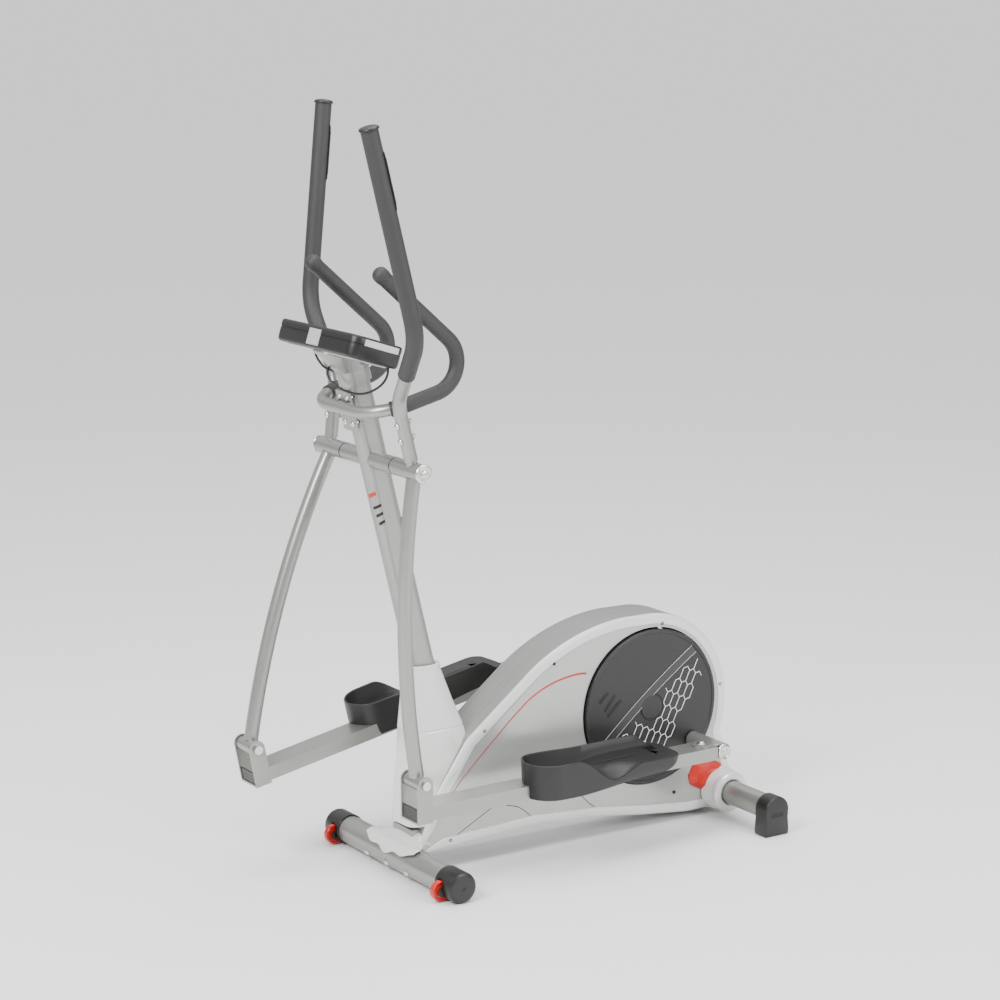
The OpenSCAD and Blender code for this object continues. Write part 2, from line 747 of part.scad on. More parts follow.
arm_slant = atan2(arm_x - rod_x, arm_len);
arm_bow = 24;
hub_sleeve_x = [arm_x - 64, arm_x + 36];
lower_sleeve_d = 30;
pivot_d = 12;
ear_gap = rod_w - 3;
stub_len = 112;
stub_d = handle_d - 4.4;
handle_start = 22;
flare_low = 142;
flare_out = 131;
flare_angle = 42;
flare_low_r = 70;
flare_high_r = 110;
flare_len = flare_out / sin(flare_angle);
flare_high = flare_low + flare_out / tan(flare_angle);
low_tangent = flare_low_r * tan(flare_angle / 2);
high_tangent = flare_high_r * tan(flare_angle / 2);
grip_start = 91;
cap_h = 9;
arm_bolt_s = [66, 98];

module on_arm(side) at_machine() on_side(side)
    translate([0, hub_y, hub_z]) rotate([arm_swing(side), 0, 0]) children();
module on_handle(side) on_arm(side) translate([arm_x, 0, 0]) rotate([handle_lean, 0, 0])
    children();
module arm_bolt_places() {
    for (s = arm_bolt_s) translate([0, -handle_d / 2, s]) rotate([90, 0, 0]) children();
}

module lower_arm(side) color(silver) {
    chord = arm_len - lower_sleeve_d / 2 - cross_d / 2 + 6;
    radius = chord * chord / (8 * arm_bow) + arm_bow / 2;
    half_angle = asin(chord / 2 / radius);
    on_arm(side) difference() {
        union() {
            x_cyl(sleeve_d, hub_sleeve_x[0], hub_sleeve_x[1]);
            translate([arm_x, 0, 0]) rotate([0, arm_slant, 0])
                translate([0, 0, 3 - cross_d / 2]) rotate([180 - half_angle, 0, 0])
                tube_run([[0, 2 * half_angle, radius, -90]], arm_d, arm_d - 4);
            translate([0, 0, -arm_len])
                x_cyl(lower_sleeve_d, rod_x - ear_gap / 2, rod_x + ear_gap / 2);
            translate([arm_x, 0, 0]) rotate([handle_lean, 0, 0])
                translate([0, 0, 12]) cylinder(d = stub_d, h = stub_len - 12);
        }
        x_cyl(axle_d + 2 * fit_gap, 90, 210);
        translate([0, 0, -arm_len]) x_cyl(pivot_d + 2 * fit_gap, 110, 200);
        translate([arm_x, 0, 0]) rotate([handle_lean, 0, 0]) {
            translate([0, 0, 24]) cylinder(d = stub_d - 5, h = stub_len);
            arm_bolt_places() translate([0, 0, -40]) cylinder(d = 8.4, h = 50);
        }
    }
}

module upper_handle(side) color(silver)
    on_handle(side) difference() {
        translate([0, 0, handle_start])
            tube_run([[flare_low - low_tangent - handle_start, flare_angle, flare_low_r, 0],
                      [flare_len - low_tangent - high_tangent, flare_angle, flare_high_r, 180],
                      [handle_len - cap_h - flare_high - high_tangent, 0, 0, 0]],
                     handle_d, handle_d - 3.8);
        arm_bolt_places() translate([0, 0, -40]) cylinder(d = 8.4, h = 50);
    }

module handle_grip(side) color(black)
    on_handle(side) translate([0, 0, flare_low]) rotate([0, flare_angle, 0])
        translate([0, 0, grip_start])
        tube_run([[flare_len - grip_start - high_tangent, flare_angle, flare_high_r, 180],
                  [handle_len - cap_h - flare_high - high_tangent, 0, 0, 0]],
                 grip_d, handle_d + 2 * fit_gap);

module handle_cap(side) color(black)
    on_handle(side) translate([flare_out, 0, handle_len - cap_h])
        rotate_extrude() polygon(concat([[0, 0], [19, 0]], arc([15, 4], 5, -30, 90, 6),
                                        [[0, cap_h]]));

module arm_bolts(side) color(steel)
    on_handle(side) arm_bolt_places() {
        dome_bolt(bolt_d, handle_d + 6, 14);
        translate([0, 0, -handle_d]) rotate([180, 0, 0]) cylinder(d = 13, h = 7, $fn = 6);
    }

// ---- Pedal rods, in a frame whose origin is the pedal pivot ----

rod_top = -rod_drop + rod_h / 2;
rod_bottom = -rod_drop - rod_h / 2;
rod_front = -14;
rod_back = rod_y - sleeve_d / 2 - 3;
ear_t = 4;
ear_r = 18;
joint_bolt_y = rod_y - 43;
joint_plate_w = 43;
joint_plate_t = 4;
pin_d = 16;
pedal_front = 249;
pedal_x = [rod_x - 34, rod_x - 34 + pedal_w];
pedal_top = 0;
pedal_floor = -38;
pedal_deck = -33;
pedal_bolt_y = [350, 545];
pedal_wall = 6;

module on_rod(side) at_machine() on_side(side)
    let (p = pedal_pivot_at(side))
    translate([0, p[0], p[1]]) rotate([rod_slope(side), 0, 0]) children();

module pedal_tube(side) color(silver)
    on_rod(side) difference() {
        union() {
            translate([rod_x - rod_w / 2, rod_front, rod_bottom])
                cube([rod_w, rod_back - rod_front, rod_h]);
            // saddle with two ears round the tube's front end
            for (x = [rod_x - rod_w / 2 - ear_t, rod_x + rod_w / 2]) {
                translate([x, -ear_r, rod_bottom - ear_t])
                    cube([ear_t, 2 * ear_r, -rod_bottom + ear_t]);
                x_cyl(2 * ear_r, x, x + ear_t);
            }
            translate([rod_x - rod_w / 2 - 1, -ear_r, rod_bottom - ear_t])
                cube([rod_w + 2, 2 * ear_r, ear_t + 0.5]);
        }
        translate([rod_x - rod_w / 2 + 2, rod_front - 10, rod_bottom + 2])
            cube([rod_w - 4, rod_back, rod_h - 4]);
        translate([rod_x - rod_w / 2 - 0.01, -ear_r - 1, rod_bottom + 0.01])
            cube([rod_w + 0.02, ear_r + rod_front + 1, rod_h]);
        x_cyl(pivot_d, 100, 200);
        translate([rod_x, joint_bolt_y, -100]) cylinder(d = 8.4, h = 100);
        for (y = pedal_bolt_y) translate([rod_x, y, -100]) cylinder(d = 8.4, h = 100);
    }

module tube_plug(side) color(black)
    on_rod(side) {
        translate([rod_x - rod_w / 2 + 2.1, rod_front - 2, rod_bottom + 2.1])
            cube([rod_w - 4.2, 16, rod_h - 4.2]);
    }

function pedal_outline(d) = concat(
    arc([pedal_x[0] + 34, pedal_front + 34], 34 - d, 180, 270, 5),
    arc([pedal_x[1] - 52, pedal_front + 52], 52 - d, 270, 360, 6),
    arc([pedal_x[1] - 30, pedal_front + pedal_len - 26], 26 - d, 5, 90, 4),
    arc([pedal_x[0] + 22, pedal_front + pedal_len - 22], 22 - d, 90, 180, 4));
module pedal(side) color(black)
    on_rod(side) difference() {
        translate([0, 0, rod_bottom + 1]) linear_extrude(pedal_top - rod_bottom - 1)
            polygon(pedal_outline(0));
        // foot well
        translate([0, 0, pedal_floor]) linear_extrude(100) polygon(pedal_outline(pedal_wall));
        // open rear end and lowered outer wall
        translate([pedal_x[0] - 10, pedal_front + 318, pedal_deck]) cube([200, 99, 99]);
        translate([pedal_x[0] + 40, pedal_front + 190, pedal_deck]) cube([200, 300, 99]);
        translate([pedal_x[0] + 40, pedal_front + 100, pedal_top]) rotate([-20, 0, 0])
            cube([200, 300, 99]);
        // channel for the pedal tube
        translate([rod_x - rod_w / 2 - fit_gap, 0, rod_bottom - 1])
            cube([rod_w + 2 * fit_gap, 900, rod_h + 1 + fit_gap]);
        for (y = pedal_bolt_y) translate([rod_x, y, -100]) cylinder(d = 8.4, h = 100);
    }

module rod_bolts(side) color(steel)
    on_rod(side) {
        x_cyl(pivot_d, rod_x - 40, rod_x + 36);
        x_cyl(18, rod_x + rod_w / 2 + ear_t + 0.1, rod_x + 40);
        x_cyl(18, rod_x - 42, rod_x - rod_w / 2 - ear_t - 0.1);
        translate([rod_x, joint_bolt_y, rod_top + joint_plate_t]) dome_bolt(bolt_d, 42, 16);
        for (y = pedal_bolt_y)
            translate([rod_x, y, pedal_floor + 0.1]) dome_bolt(bolt_d, 44, 15);
    }

module crank_joint(side) color(silver)
    on_rod(side) difference() {
        union() {
            translate([0, rod_y, -rod_drop]) x_cyl(sleeve_d, disc_face_x + 3, pin_end_x - 4);
            translate([rod_x, joint_bolt_y, rod_top + 0.02])
                cylinder(d = joint_plate_w, h = joint_plate_t - 0.02);
            translate([rod_x - joint_plate_w / 2, joint_bolt_y, rod_top + 0.02])
                cube([joint_plate_w, rod_y - joint_bolt_y, joint_plate_t - 0.02]);
        }
        translate([0, rod_y, -rod_drop]) x_cyl(pin_d + 2 * fit_gap, 0, 300);
        translate([rod_x, joint_bolt_y, -100]) cylinder(d = 8.4, h = 100);
    }

module crank_pin(side) color(steel)
    on_rod(side) translate([0, rod_y, -rod_drop]) {
        x_cyl(pin_d, disc_face_x + 1, pin_end_x);
        x_cyl(28, pin_end_x - 3.9, pin_end_x);
    }

// ---- One module for each piece that comes in a pair ----

module left_housing_shell() housing_shell(LEFT);
module right_housing_shell() housing_shell(RIGHT);
module left_transport_wheel() transport_wheel(LEFT);
module right_transport_wheel() transport_wheel(RIGHT);
module mode_button() console_button(button_x[0]);
module reset_button() console_button(button_x[1]);
module left_disc() side_disc(LEFT);
module right_disc() side_disc(RIGHT);
module left_lower_arm() lower_arm(LEFT);
module left_upper_handle() upper_handle(LEFT);
module left_handle_grip() handle_grip(LEFT);
module left_handle_cap() handle_cap(LEFT);
module left_arm_bolts() arm_bolts(LEFT);
module right_lower_arm() lower_arm(RIGHT);
module right_upper_handle() upper_handle(RIGHT);
module right_handle_grip() handle_grip(RIGHT);
module right_handle_cap() handle_cap(RIGHT);
module right_arm_bolts() arm_bolts(RIGHT);
module left_pedal_tube() pedal_tube(LEFT);
module left_tube_plug() tube_plug(LEFT);
module left_pedal() pedal(LEFT);
module left_rod_bolts() rod_bolts(LEFT);
module left_crank_joint() crank_joint(LEFT);
module left_crank_pin() crank_pin(LEFT);
module right_pedal_tube() pedal_tube(RIGHT);
module right_tube_plug() tube_plug(RIGHT);
module right_pedal() pedal(RIGHT);
module right_rod_bolts() rod_bolts(RIGHT);
module right_crank_joint() crank_joint(RIGHT);
module right_crank_pin() crank_pin(RIGHT);

main_frame();
front_stabilizer();
rear_stabilizer();
front_end_caps();
rear_feet();
left_housing_shell();
right_housing_shell();
housing_screws();
mast_shroud();
front_skirt();
rear_collars();
side_inserts();
mast();
pivot_axle();
hub_caps();
fixed_handlebar();
fixed_bar_grips();
frame_bolts();
console_bracket();
console_case();
console_face();
pulse_cable();
sensor_lead();
crank_bearings();
brake_magnets();
drive_belt();
left_transport_wheel();
right_transport_wheel();
resistance_knob();
mode_button();
reset_button();
crank_axle();
crank_pulley();
crank_arms();
left_disc();
right_disc();
flywheel();
idler_roller();
left_lower_arm();
left_upper_handle();
left_handle_grip();
left_handle_cap();
left_arm_bolts();
right_lower_arm();
right_upper_handle();
right_handle_grip();
right_handle_cap();
right_arm_bolts();
left_pedal_tube();
left_tube_plug();
left_pedal();
left_rod_bolts();
left_crank_joint();
left_crank_pin();
right_pedal_tube();
right_tube_plug();
right_pedal();
right_rod_bolts();
right_crank_joint();
right_crank_pin();
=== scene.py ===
import json
import math

import bpy
from mathutils import Matrix, Vector
from mathutils.geometry import tessellate_polygon


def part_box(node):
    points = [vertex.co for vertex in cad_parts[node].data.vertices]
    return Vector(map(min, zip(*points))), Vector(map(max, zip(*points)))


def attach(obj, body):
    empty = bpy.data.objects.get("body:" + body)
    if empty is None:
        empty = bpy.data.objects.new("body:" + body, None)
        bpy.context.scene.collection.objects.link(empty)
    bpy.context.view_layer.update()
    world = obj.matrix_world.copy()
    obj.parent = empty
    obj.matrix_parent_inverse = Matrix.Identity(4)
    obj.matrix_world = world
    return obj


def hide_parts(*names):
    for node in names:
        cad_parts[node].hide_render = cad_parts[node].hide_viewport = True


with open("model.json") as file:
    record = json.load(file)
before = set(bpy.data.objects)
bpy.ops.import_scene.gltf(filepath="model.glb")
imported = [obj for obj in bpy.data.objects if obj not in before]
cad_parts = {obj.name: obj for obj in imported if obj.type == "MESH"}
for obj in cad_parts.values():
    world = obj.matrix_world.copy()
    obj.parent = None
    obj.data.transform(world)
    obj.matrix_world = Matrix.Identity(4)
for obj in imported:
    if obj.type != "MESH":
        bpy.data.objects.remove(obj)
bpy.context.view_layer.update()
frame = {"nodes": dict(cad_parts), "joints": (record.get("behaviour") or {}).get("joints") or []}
scene = bpy.context.scene
nodes = frame["nodes"]

# ---- Units and places ----
# Shapes are drawn in millimetres, with Y measured from the front stabilizer's axis.

MM = 0.001


def middle(*names):
    boxes = [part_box(name) for name in names]
    return Vector([(min(low[i] for low, high in boxes) + max(high[i] for low, high in boxes)) / 2
                   for i in range(3)])


FRONT = -middle("front_stabilizer").y / MM  # from the frame's origin back to that axis
LEFT, RIGHT = 1, -1
SIDES = {"left": LEFT, "right": RIGHT}


def at(x, y, z):
    return Vector((x, y - FRONT, z)) * MM


def drawn(place):
    """A place of the frame, in metres, as the millimetres the shapes are drawn in."""
    return place / MM + Vector((0, FRONT, 0))


def joint_place(name):
    joint = next(j for j in frame["joints"] if j["name"] == name)
    return drawn(Vector(joint["pos_m"]))


# ---- Materials ----

materials = {}


def surface(name, color, rough, metallic=0.0, grain=900.0, bump=0.05, fleck=0.06, mottle=0.05,
            coat=0.0, stretch=(1, 1, 1), specular=0.5):
    """A moulded, painted or drawn surface: fine grain in the bump, and slow changes of tone
    and roughness."""
    mat = bpy.data.materials.new(name)
    mat.use_nodes = True
    tree = mat.node_tree
    new, link = tree.nodes.new, tree.links.new
    shader = tree.nodes["Principled BSDF"]
    shader.inputs["Metallic"].default_value = metallic
    shader.inputs["Coat Weight"].default_value = coat
    shader.inputs["Specular IOR Level"].default_value = specular
    place = new("ShaderNodeTexCoord")
    mapping = new("ShaderNodeMapping")
    mapping.inputs["Scale"].default_value = stretch
    link(place.outputs["Object"], mapping.inputs["Vector"])

    fine = new("ShaderNodeTexNoise")
    fine.inputs["Scale"].default_value = grain
    fine.inputs["Detail"].default_value = 3
    slow = new("ShaderNodeTexNoise")
    slow.inputs["Scale"].default_value = 7.0
    slow.inputs["Detail"].default_value = 2
    link(mapping.outputs["Vector"], fine.inputs["Vector"])
    link(place.outputs["Object"], slow.inputs["Vector"])

    tone = new("ShaderNodeMath")
    tone.operation = "MULTIPLY_ADD"
    tone.inputs[1].default_value = mottle
    tone.inputs[2].default_value = 1 - mottle / 2
    link(slow.outputs["Fac"], tone.inputs[0])
    speck = new("ShaderNodeMath")
    speck.operation = "MULTIPLY_ADD"
    speck.inputs[1].default_value = fleck
    link(fine.outputs["Fac"], speck.inputs[0])
    link(tone.outputs[0], speck.inputs[2])
    shade = new("ShaderNodeVectorMath")
    shade.operation = "SCALE"
    shade.inputs[0].default_value = color
    link(speck.outputs[0], shade.inputs["Scale"])
    link(shade.outputs[0], shader.inputs["Base Color"])

    gloss = new("ShaderNodeMath")
    gloss.operation = "MULTIPLY_ADD"
    gloss.inputs[1].default_value = 0.12
    gloss.inputs[2].default_value = rough - 0.06
    link(slow.outputs["Fac"], gloss.inputs[0])
    link(gloss.outputs[0], shader.inputs["Roughness"])

    relief = new("ShaderNodeBump")
    relief.inputs["Strength"].default_value = bump
    relief.inputs["Distance"].default_value = 0.0006
    link(fine.outputs["Fac"], relief.inputs["Height"])
    link(relief.outputs["Normal"], shader.inputs["Normal"])
    materials[name] = mat
    return mat


surface("silver_coat", (0.30, 0.30, 0.285), 0.30, metallic=0.70, grain=1500, bump=0.10, fleck=0.10)
surface("pale_shell", (0.70, 0.70, 0.69), 0.25, metallic=0.15, grain=1200, bump=0.05, coat=0.25)
surface("side_shell", (0.44, 0.44, 0.43), 0.26, metallic=0.35, grain=1200, bump=0.05, coat=0.25)
surface("band_shell", (0.27, 0.27, 0.265), 0.38, metallic=0.45, grain=1100, bump=0.10)
surface("bright_line", (0.86, 0.86, 0.85), 0.28, grain=900, bump=0.03)
surface("shadow_gap", (0.008, 0.008, 0.008), 0.70, grain=700, bump=0.08)
surface("red_gloss", (0.50, 0.008, 0.002), 0.30, grain=800, bump=0.04, coat=0.15)
surface("dark_red", (0.36, 0.02, 0.02), 0.32, grain=800, bump=0.03)
surface("charcoal", (0.014, 0.0135, 0.014), 0.42, grain=1400, bump=0.16, fleck=0.3)
surface("charcoal_band", (0.030, 0.029, 0.030), 0.36, grain=1400, bump=0.12, fleck=0.2)
surface("black_mould", (0.007, 0.0068, 0.0068), 0.38, grain=1300, bump=0.22, fleck=0.3)
surface("pedal_mould", (0.009, 0.0088, 0.0088), 0.45, grain=900, bump=0.45, fleck=0.4)
surface("foam", (0.014, 0.0135, 0.014), 0.52, grain=2600, bump=0.55, fleck=0.5, specular=0.6)
surface("cable_jacket", (0.006, 0.006, 0.006), 0.40, grain=1600, bump=0.10)
surface("zinc", (0.62, 0.62, 0.60), 0.24, metallic=1.0, grain=700, bump=0.05, stretch=(1, 1, 6))
surface("turned_steel", (0.50, 0.50, 0.50), 0.30, metallic=1.0, grain=900, bump=0.12,
        stretch=(8, 1, 1))
surface("iron_cast", (0.17, 0.17, 0.17), 0.48, metallic=0.9, grain=500, bump=0.35)
surface("belt", (0.02, 0.02, 0.02), 0.60, grain=600, bump=0.30, stretch=(30, 1, 1))
surface("screen_glass", (0.012, 0.014, 0.014), 0.08, grain=200, bump=0.0, coat=0.8)
surface("screen_film", (0.20, 0.23, 0.20), 0.30, grain=400, bump=0.02)
surface("silver_plastic", (0.58, 0.58, 0.57), 0.25, metallic=0.4, grain=900, bump=0.04, coat=0.3)
surface("studio_floor", (0.90, 0.90, 0.90), 0.55, grain=40, bump=0.02, fleck=0.01, mottle=0.01)


def shade_smooth(obj, angle=32):
    """Smooth shading between faces that meet at less than the angle."""
    for face in obj.data.polygons:
        face.use_smooth = True
    sharp = obj.modifiers.new("creases", "EDGE_SPLIT")
    sharp.split_angle = math.radians(angle)


# ---- Building pieces ----


def piece(name, points, faces, material, body="frame", covers=(), smooth=32, bevel=0.0,
          per_face=None):
    """A mesh piece from points in millimetres, which rides on a CAD body."""
    mesh = bpy.data.meshes.new(name)
    mesh.from_pydata([at(*p) for p in points], [], faces)
    mesh.validate()
    obj = bpy.data.objects.new(name, mesh)
    scene.collection.objects.link(obj)
    names = [material] if isinstance(material, str) else list(material)
    for m in names:
        mesh.materials.append(materials[m])
    if per_face:
        for face in mesh.polygons:
            face.material_index = per_face(face.index)
    bpy.context.view_layer.objects.active = obj
    obj.select_set(True)
    bpy.ops.object.mode_set(mode="EDIT")
    bpy.ops.mesh.select_all(action="SELECT")
    bpy.ops.mesh.normals_make_consistent(inside=False)
    bpy.ops.object.mode_set(mode="OBJECT")
    obj.select_set(False)
    if bevel:
        soft = obj.modifiers.new("bevel", "BEVEL")
        soft.width = bevel * MM
        soft.segments = 3
        soft.limit_method = "ANGLE"
        soft.angle_limit = math.radians(35)
    if smooth:
        shade_smooth(obj, smooth)
    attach(obj, body)
    if covers:
        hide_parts(*covers)
    return obj


def loft(rings, closed_ends=True, start=0):
    """Faces that join rings of equal length, in order."""
    n = len(rings[0])
    points = [p for ring in rings for p in ring]
    faces = []
    for i in range(len(rings) - 1):
        for k in range(n):
            a, b = i * n + k, i * n + (k + 1) % n
            faces.append((a, b, b + n, a + n))
    if closed_ends:
        faces.append(tuple(range(n)))
        faces.append(tuple(range((len(rings) - 1) * n, len(rings) * n)))
    return points, [tuple(v + start for v in f) for f in faces]


def arc(centre, r, a0, a1, n):
    """n steps of a circle, between two angles in degrees."""
    return [(centre[0] + r * math.cos(math.radians(a0 + (a1 - a0) * i / n)),
             centre[1] + r * math.sin(math.radians(a0 + (a1 - a0) * i / n)))
            for i in range(n + 1)]


def circle(centre, r, n):
    return [(centre[0] + r * math.cos(2 * math.pi * k / n),
             centre[1] + r * math.sin(2 * math.pi * k / n)) for k in range(n)]


def resample(line, n):
    """n points evenly round a closed line of 2-D points."""
    pts = [Vector(p) for p in line] + [Vector(line[0])]
    lengths = [(b - a).length for a, b in zip(pts, pts[1:])]
    total = sum(lengths)
    out = []
    i, run = 0, 0.0
    for k in range(n):
        target = total * k / n
        while i < len(lengths) - 1 and run + lengths[i] < target:
            run += lengths[i]
            i += 1
        t = min(1.0, (target - run) / lengths[i])
        out.append(pts[i].lerp(pts[i + 1], t))
    return out


def inset(line, d, share=None):
    """The closed outline moved inwards by d; it runs clockwise seen from +X. A share for
    each point scales the move."""
    n = len(line)
    out = []
    for i in range(n):
        a, b, c = line[i - 1], line[i], line[(i + 1) % n]
        e1, e2 = (b - a).normalized(), (c - b).normalized()
        n1, n2 = Vector((e1.y, -e1.x)), Vector((e2.y, -e2.x))
        move = d * (share[i] if share else 1)
        out.append(b + (n1 + n2) * (move / max(0.35, 1 + n1.dot(n2))))
    return out


def turned(name, profile, centre, material, side=LEFT, segments=96, **options):
    """A solid of revolution about the machine's X direction. The profile is (x, radius)."""
    rings = [[(side * x, y, z) for y, z in circle(centre, r, segments)] for x, r in profile]
    points, faces = loft(rings)
    return piece(name, points, faces, material, **options)


def slab(name, outline, x0, x1, material, side=LEFT, **options):
    """A side outline in Y and Z, between two places in X."""
    rings = [[(side * x, p[0], p[1]) for p in outline] for x in (x0, x1)]
    points, faces = loft(rings)
    return piece(name, points, faces, material, **options)


def cord_curve(name, points, radius, material, body="frame"):
    """A round line through points in millimetres, or one for each list of points."""
    data = bpy.data.curves.new(name, "CURVE")
    data.dimensions = "3D"
    data.bevel_depth = radius * MM
    data.bevel_resolution = 4
    data.use_fill_caps = True
    lines = points if isinstance(points[0][0], (tuple, list, Vector)) else [points]
    for line in lines:
        spline = data.splines.new("POLY")
        spline.points.add(len(line) - 1)
        for target, p in zip(spline.points, line):
            target.co = (*at(*p), 1)
        spline.use_smooth = True
    data.materials.append(materials[material])
    obj = bpy.data.objects.new(name, data)
    scene.collection.objects.link(obj)
    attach(obj, body)
    return obj


# ---- Camera, light and floor ----

camera_data = bpy.data.cameras.new("camera")
camera_data.lens = 96.57
camera_data.sensor_width = 36
camera = bpy.data.objects.new("camera", camera_data)
camera.location = (4.598, -3.029, 1.859)
camera.rotation_euler = (math.radians(78.694), 0, math.radians(56.816))
scene.collection.objects.link(camera)
scene.camera = camera


def softbox(name, place, target, size, power):
    data = bpy.data.lights.new(name, "AREA")
    data.shape = "RECTANGLE"
    data.size, data.size_y = size
    data.energy = power
    lamp = bpy.data.objects.new(name, data)
    lamp.location = place
    lamp.rotation_euler = (Vector(target) - Vector(place)).to_track_quat("-Z", "Y").to_euler()
    scene.collection.objects.link(lamp)


softbox("key", (1.2, -3.6, 3.4), (0, 0, 0.6), (1.4, 2.0), 210)
softbox("side", (3.8, 1.6, 2.2), (0, 0.1, 0.5), (1.0, 2.2), 110)
softbox("top", (0, 0.2, 4.2), (0, 0, 0.4), (2.4, 2.4), 90)

world = bpy.data.worlds.new("studio")
world.use_nodes = True
sky_tree = world.node_tree
sky = sky_tree.nodes["Background"]
sky.inputs["Strength"].default_value = 1.0
sky_place = sky_tree.nodes.new("ShaderNodeTexCoord")
sky_split = sky_tree.nodes.new("ShaderNodeSeparateXYZ")
sky_ramp = sky_tree.nodes.new("ShaderNodeValToRGB")
sky_ramp.color_ramp.elements[0].position = 0.0
sky_ramp.color_ramp.elements[0].color = (0.36, 0.36, 0.36, 1)
sky_ramp.color_ramp.elements[1].position = 0.8
sky_ramp.color_ramp.elements[1].color = (1.5, 1.5, 1.5, 1)
sky_tree.links.new(sky_place.outputs["Generated"], sky_split.inputs[0])
sky_tree.links.new(sky_split.outputs["Z"], sky_ramp.inputs["Fac"])
sky_tree.links.new(sky_ramp.outputs["Color"], sky.inputs["Color"])
scene.world = world

FLOOR_HALF = 200  # metres, so that the horizon stays out of sight
floor_mesh = bpy.data.meshes.new("floor")
floor_mesh.from_pydata([(x * FLOOR_HALF, y * FLOOR_HALF, 0)
                        for x, y in ((-1, -1), (1, -1), (1, 1), (-1, 1))], [], [(0, 1, 2, 3)])
floor_mesh.materials.append(materials["studio_floor"])
floor = bpy.data.objects.new("floor", floor_mesh)
scene.collection.objects.link(floor)

# ---- Cords ----

PULSE_ROUTE = [(-12, -122, 1076), (-14, -134, 1074), (-14, -144, 1069), (-10, -149, 1060),
               (-2, -149, 1050), (10, -145, 1041), (24, -140, 1034), (42, -134, 1029),
               (60, -128, 1027), (78, -122, 1028), (96, -115, 1033), (111, -108, 1041),
               (122, -101, 1051), (128, -95, 1063), (130, -92, 1076), (129, -92, 1090)]
LEAD_ROUTE = [(-83, -136, 1108), (-84, -135, 1100), (-84, -134, 1091), (-80, -132, 1081),
              (-72, -130, 1073), (-62, -128, 1066), (-50, -125, 1062), (-40, -121, 1060),
              (-28, -116, 1060), (-18, -112, 1062)]
CABLE_D = 5


def smooth_route(route, steps=4):
    """A Catmull-Rom line through the route's points."""
    p = [Vector(q) for q in route]
    out = []
    for i in range(len(p) - 1):
        a, b, c, d = p[max(i - 1, 0)], p[i], p[i + 1], p[min(i + 2, len(p) - 1)]
        for k in range(steps):
            t = k / steps
            out.append(0.5 * (2 * b + (c - a) * t + (2 * a - 5 * b + 4 * c - d) * t * t
                              + (3 * b - a - 3 * c + d) * t ** 3))
    out.append(p[-1])
    return out


def free_cable(name, route, node):
    line = smooth_route(route)
    cable = cord_curve(name, [tuple(q) for q in line], CABLE_D / 2, "cable_jacket")
    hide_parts(node)


free_cable("pulse_cable_jacket", PULSE_ROUTE, "pulse_cable")
free_cable("sensor_lead_jacket", LEAD_ROUTE, "sensor_lead")

# ---- Housing ----

CRANK = drawn(middle("crank_axle"))
HUB = drawn(middle("pivot_axle"))
REAR = drawn(middle("rear_stabilizer"))
crank_yz = (CRANK.y, CRANK.z)
SHELL_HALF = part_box("left_housing_shell")[1].x / MM
DISC_R = (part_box("left_disc")[1].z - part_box("left_disc")[0].z) / 2 / MM
DISC_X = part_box("left_disc")[1].x / MM
FACE_DROP = 2.2  # from the shell's rim in to its side face
SCREWS = [(180, 285), (356, 405), (640, 455), (801, 295), (678, 66), (95, 62)]
GROOVES = {
    "toe": [(84, 54), (130, 79), (206, 118), (300, 168)],
    "step": [(236, 113), (266, 104), (290, 86), (306, 68)],
    "rear": [(424, 106), (434, 96), (450, 80), (464, 70)],
}

housing_line = resample(
    [(12, 42), (60, 160), (140, 273)]
    + arc((CRANK.y - 49, 31), 450, 126, 92, 16)
    + arc((CRANK.y - 6, CRANK.z - 9), 216, 88, -20, 40)
    + arc((REAR.y, 58), 44, 20, -90, 12)
    + [(717, 13), (585, 28), (475, 44), (305, 55), (143, 47)], 240)

# the rim narrows to nothing at the toe's sharp corner
toe = Vector(housing_line[0])
toe_share = [min(1.0, 0.08 + (p - toe).length / 75) for p in housing_line]


def housing_side(name, side):
    """Half the housing: its edge band, its rounded rim and a side face open round the disc.
    Each step of the loft is a place in X and an inset of the outline."""
    s = SHELL_HALF
    steps = [(0.3, 1.2), (1.1, 0.1), (15.5, 0), (16.2, 0.9), (18.0, 0.9), (18.8, 0),
             (s - 11, 0), (s - 7, 0.6), (s - 3.6, 2.2), (s - 1.2, 5), (s - 0.2, 8.5), (s, 12),
             (s, 20), (s - 0.4, 22), (s - 1.7, 23.2),
             (s - FACE_DROP, 24.5), (s - FACE_DROP, 27)]
    band_steps, rim_steps = 7, len(steps) - 3
    rings = [[(side * x, p.x, p.y) for p in inset(housing_line, d, toe_share)] for x, d in steps]
    opening_r = DISC_R + 3.5
    n = len(housing_line)
    points, faces = loft(rings, closed_ends=False)
    seen = inset(housing_line, steps[-1][1], toe_share)
    hole = [Vector(p) for p in circle(crank_yz, opening_r, n)]
    rim = [[(side * x, y, z) for y, z in circle(crank_yz, r, n)]
           for x, r in ((s - FACE_DROP, opening_r), (s - 3.4, opening_r - 0.8),
                        (s - 10, opening_r - 0.8))]
    start = len(points)
    rim_points, rim_faces = loft(rim, closed_ends=False, start=start)
    points += rim_points
    flat = tessellate_polygon([[p.to_3d() for p in seen], [p.to_3d() for p in hole]])
    first = (len(steps) - 1) * n
    faces += rim_faces + [tuple(first + v if v < n else start + v - n for v in t) for t in flat]
    piece(name, points, faces, ("side_shell", "band_shell", "pale_shell"),
          covers=(f"{name}_housing_shell",), smooth=24,
          per_face=lambda i: 1 if i < band_steps * n else 2 if i < rim_steps * n else 0)


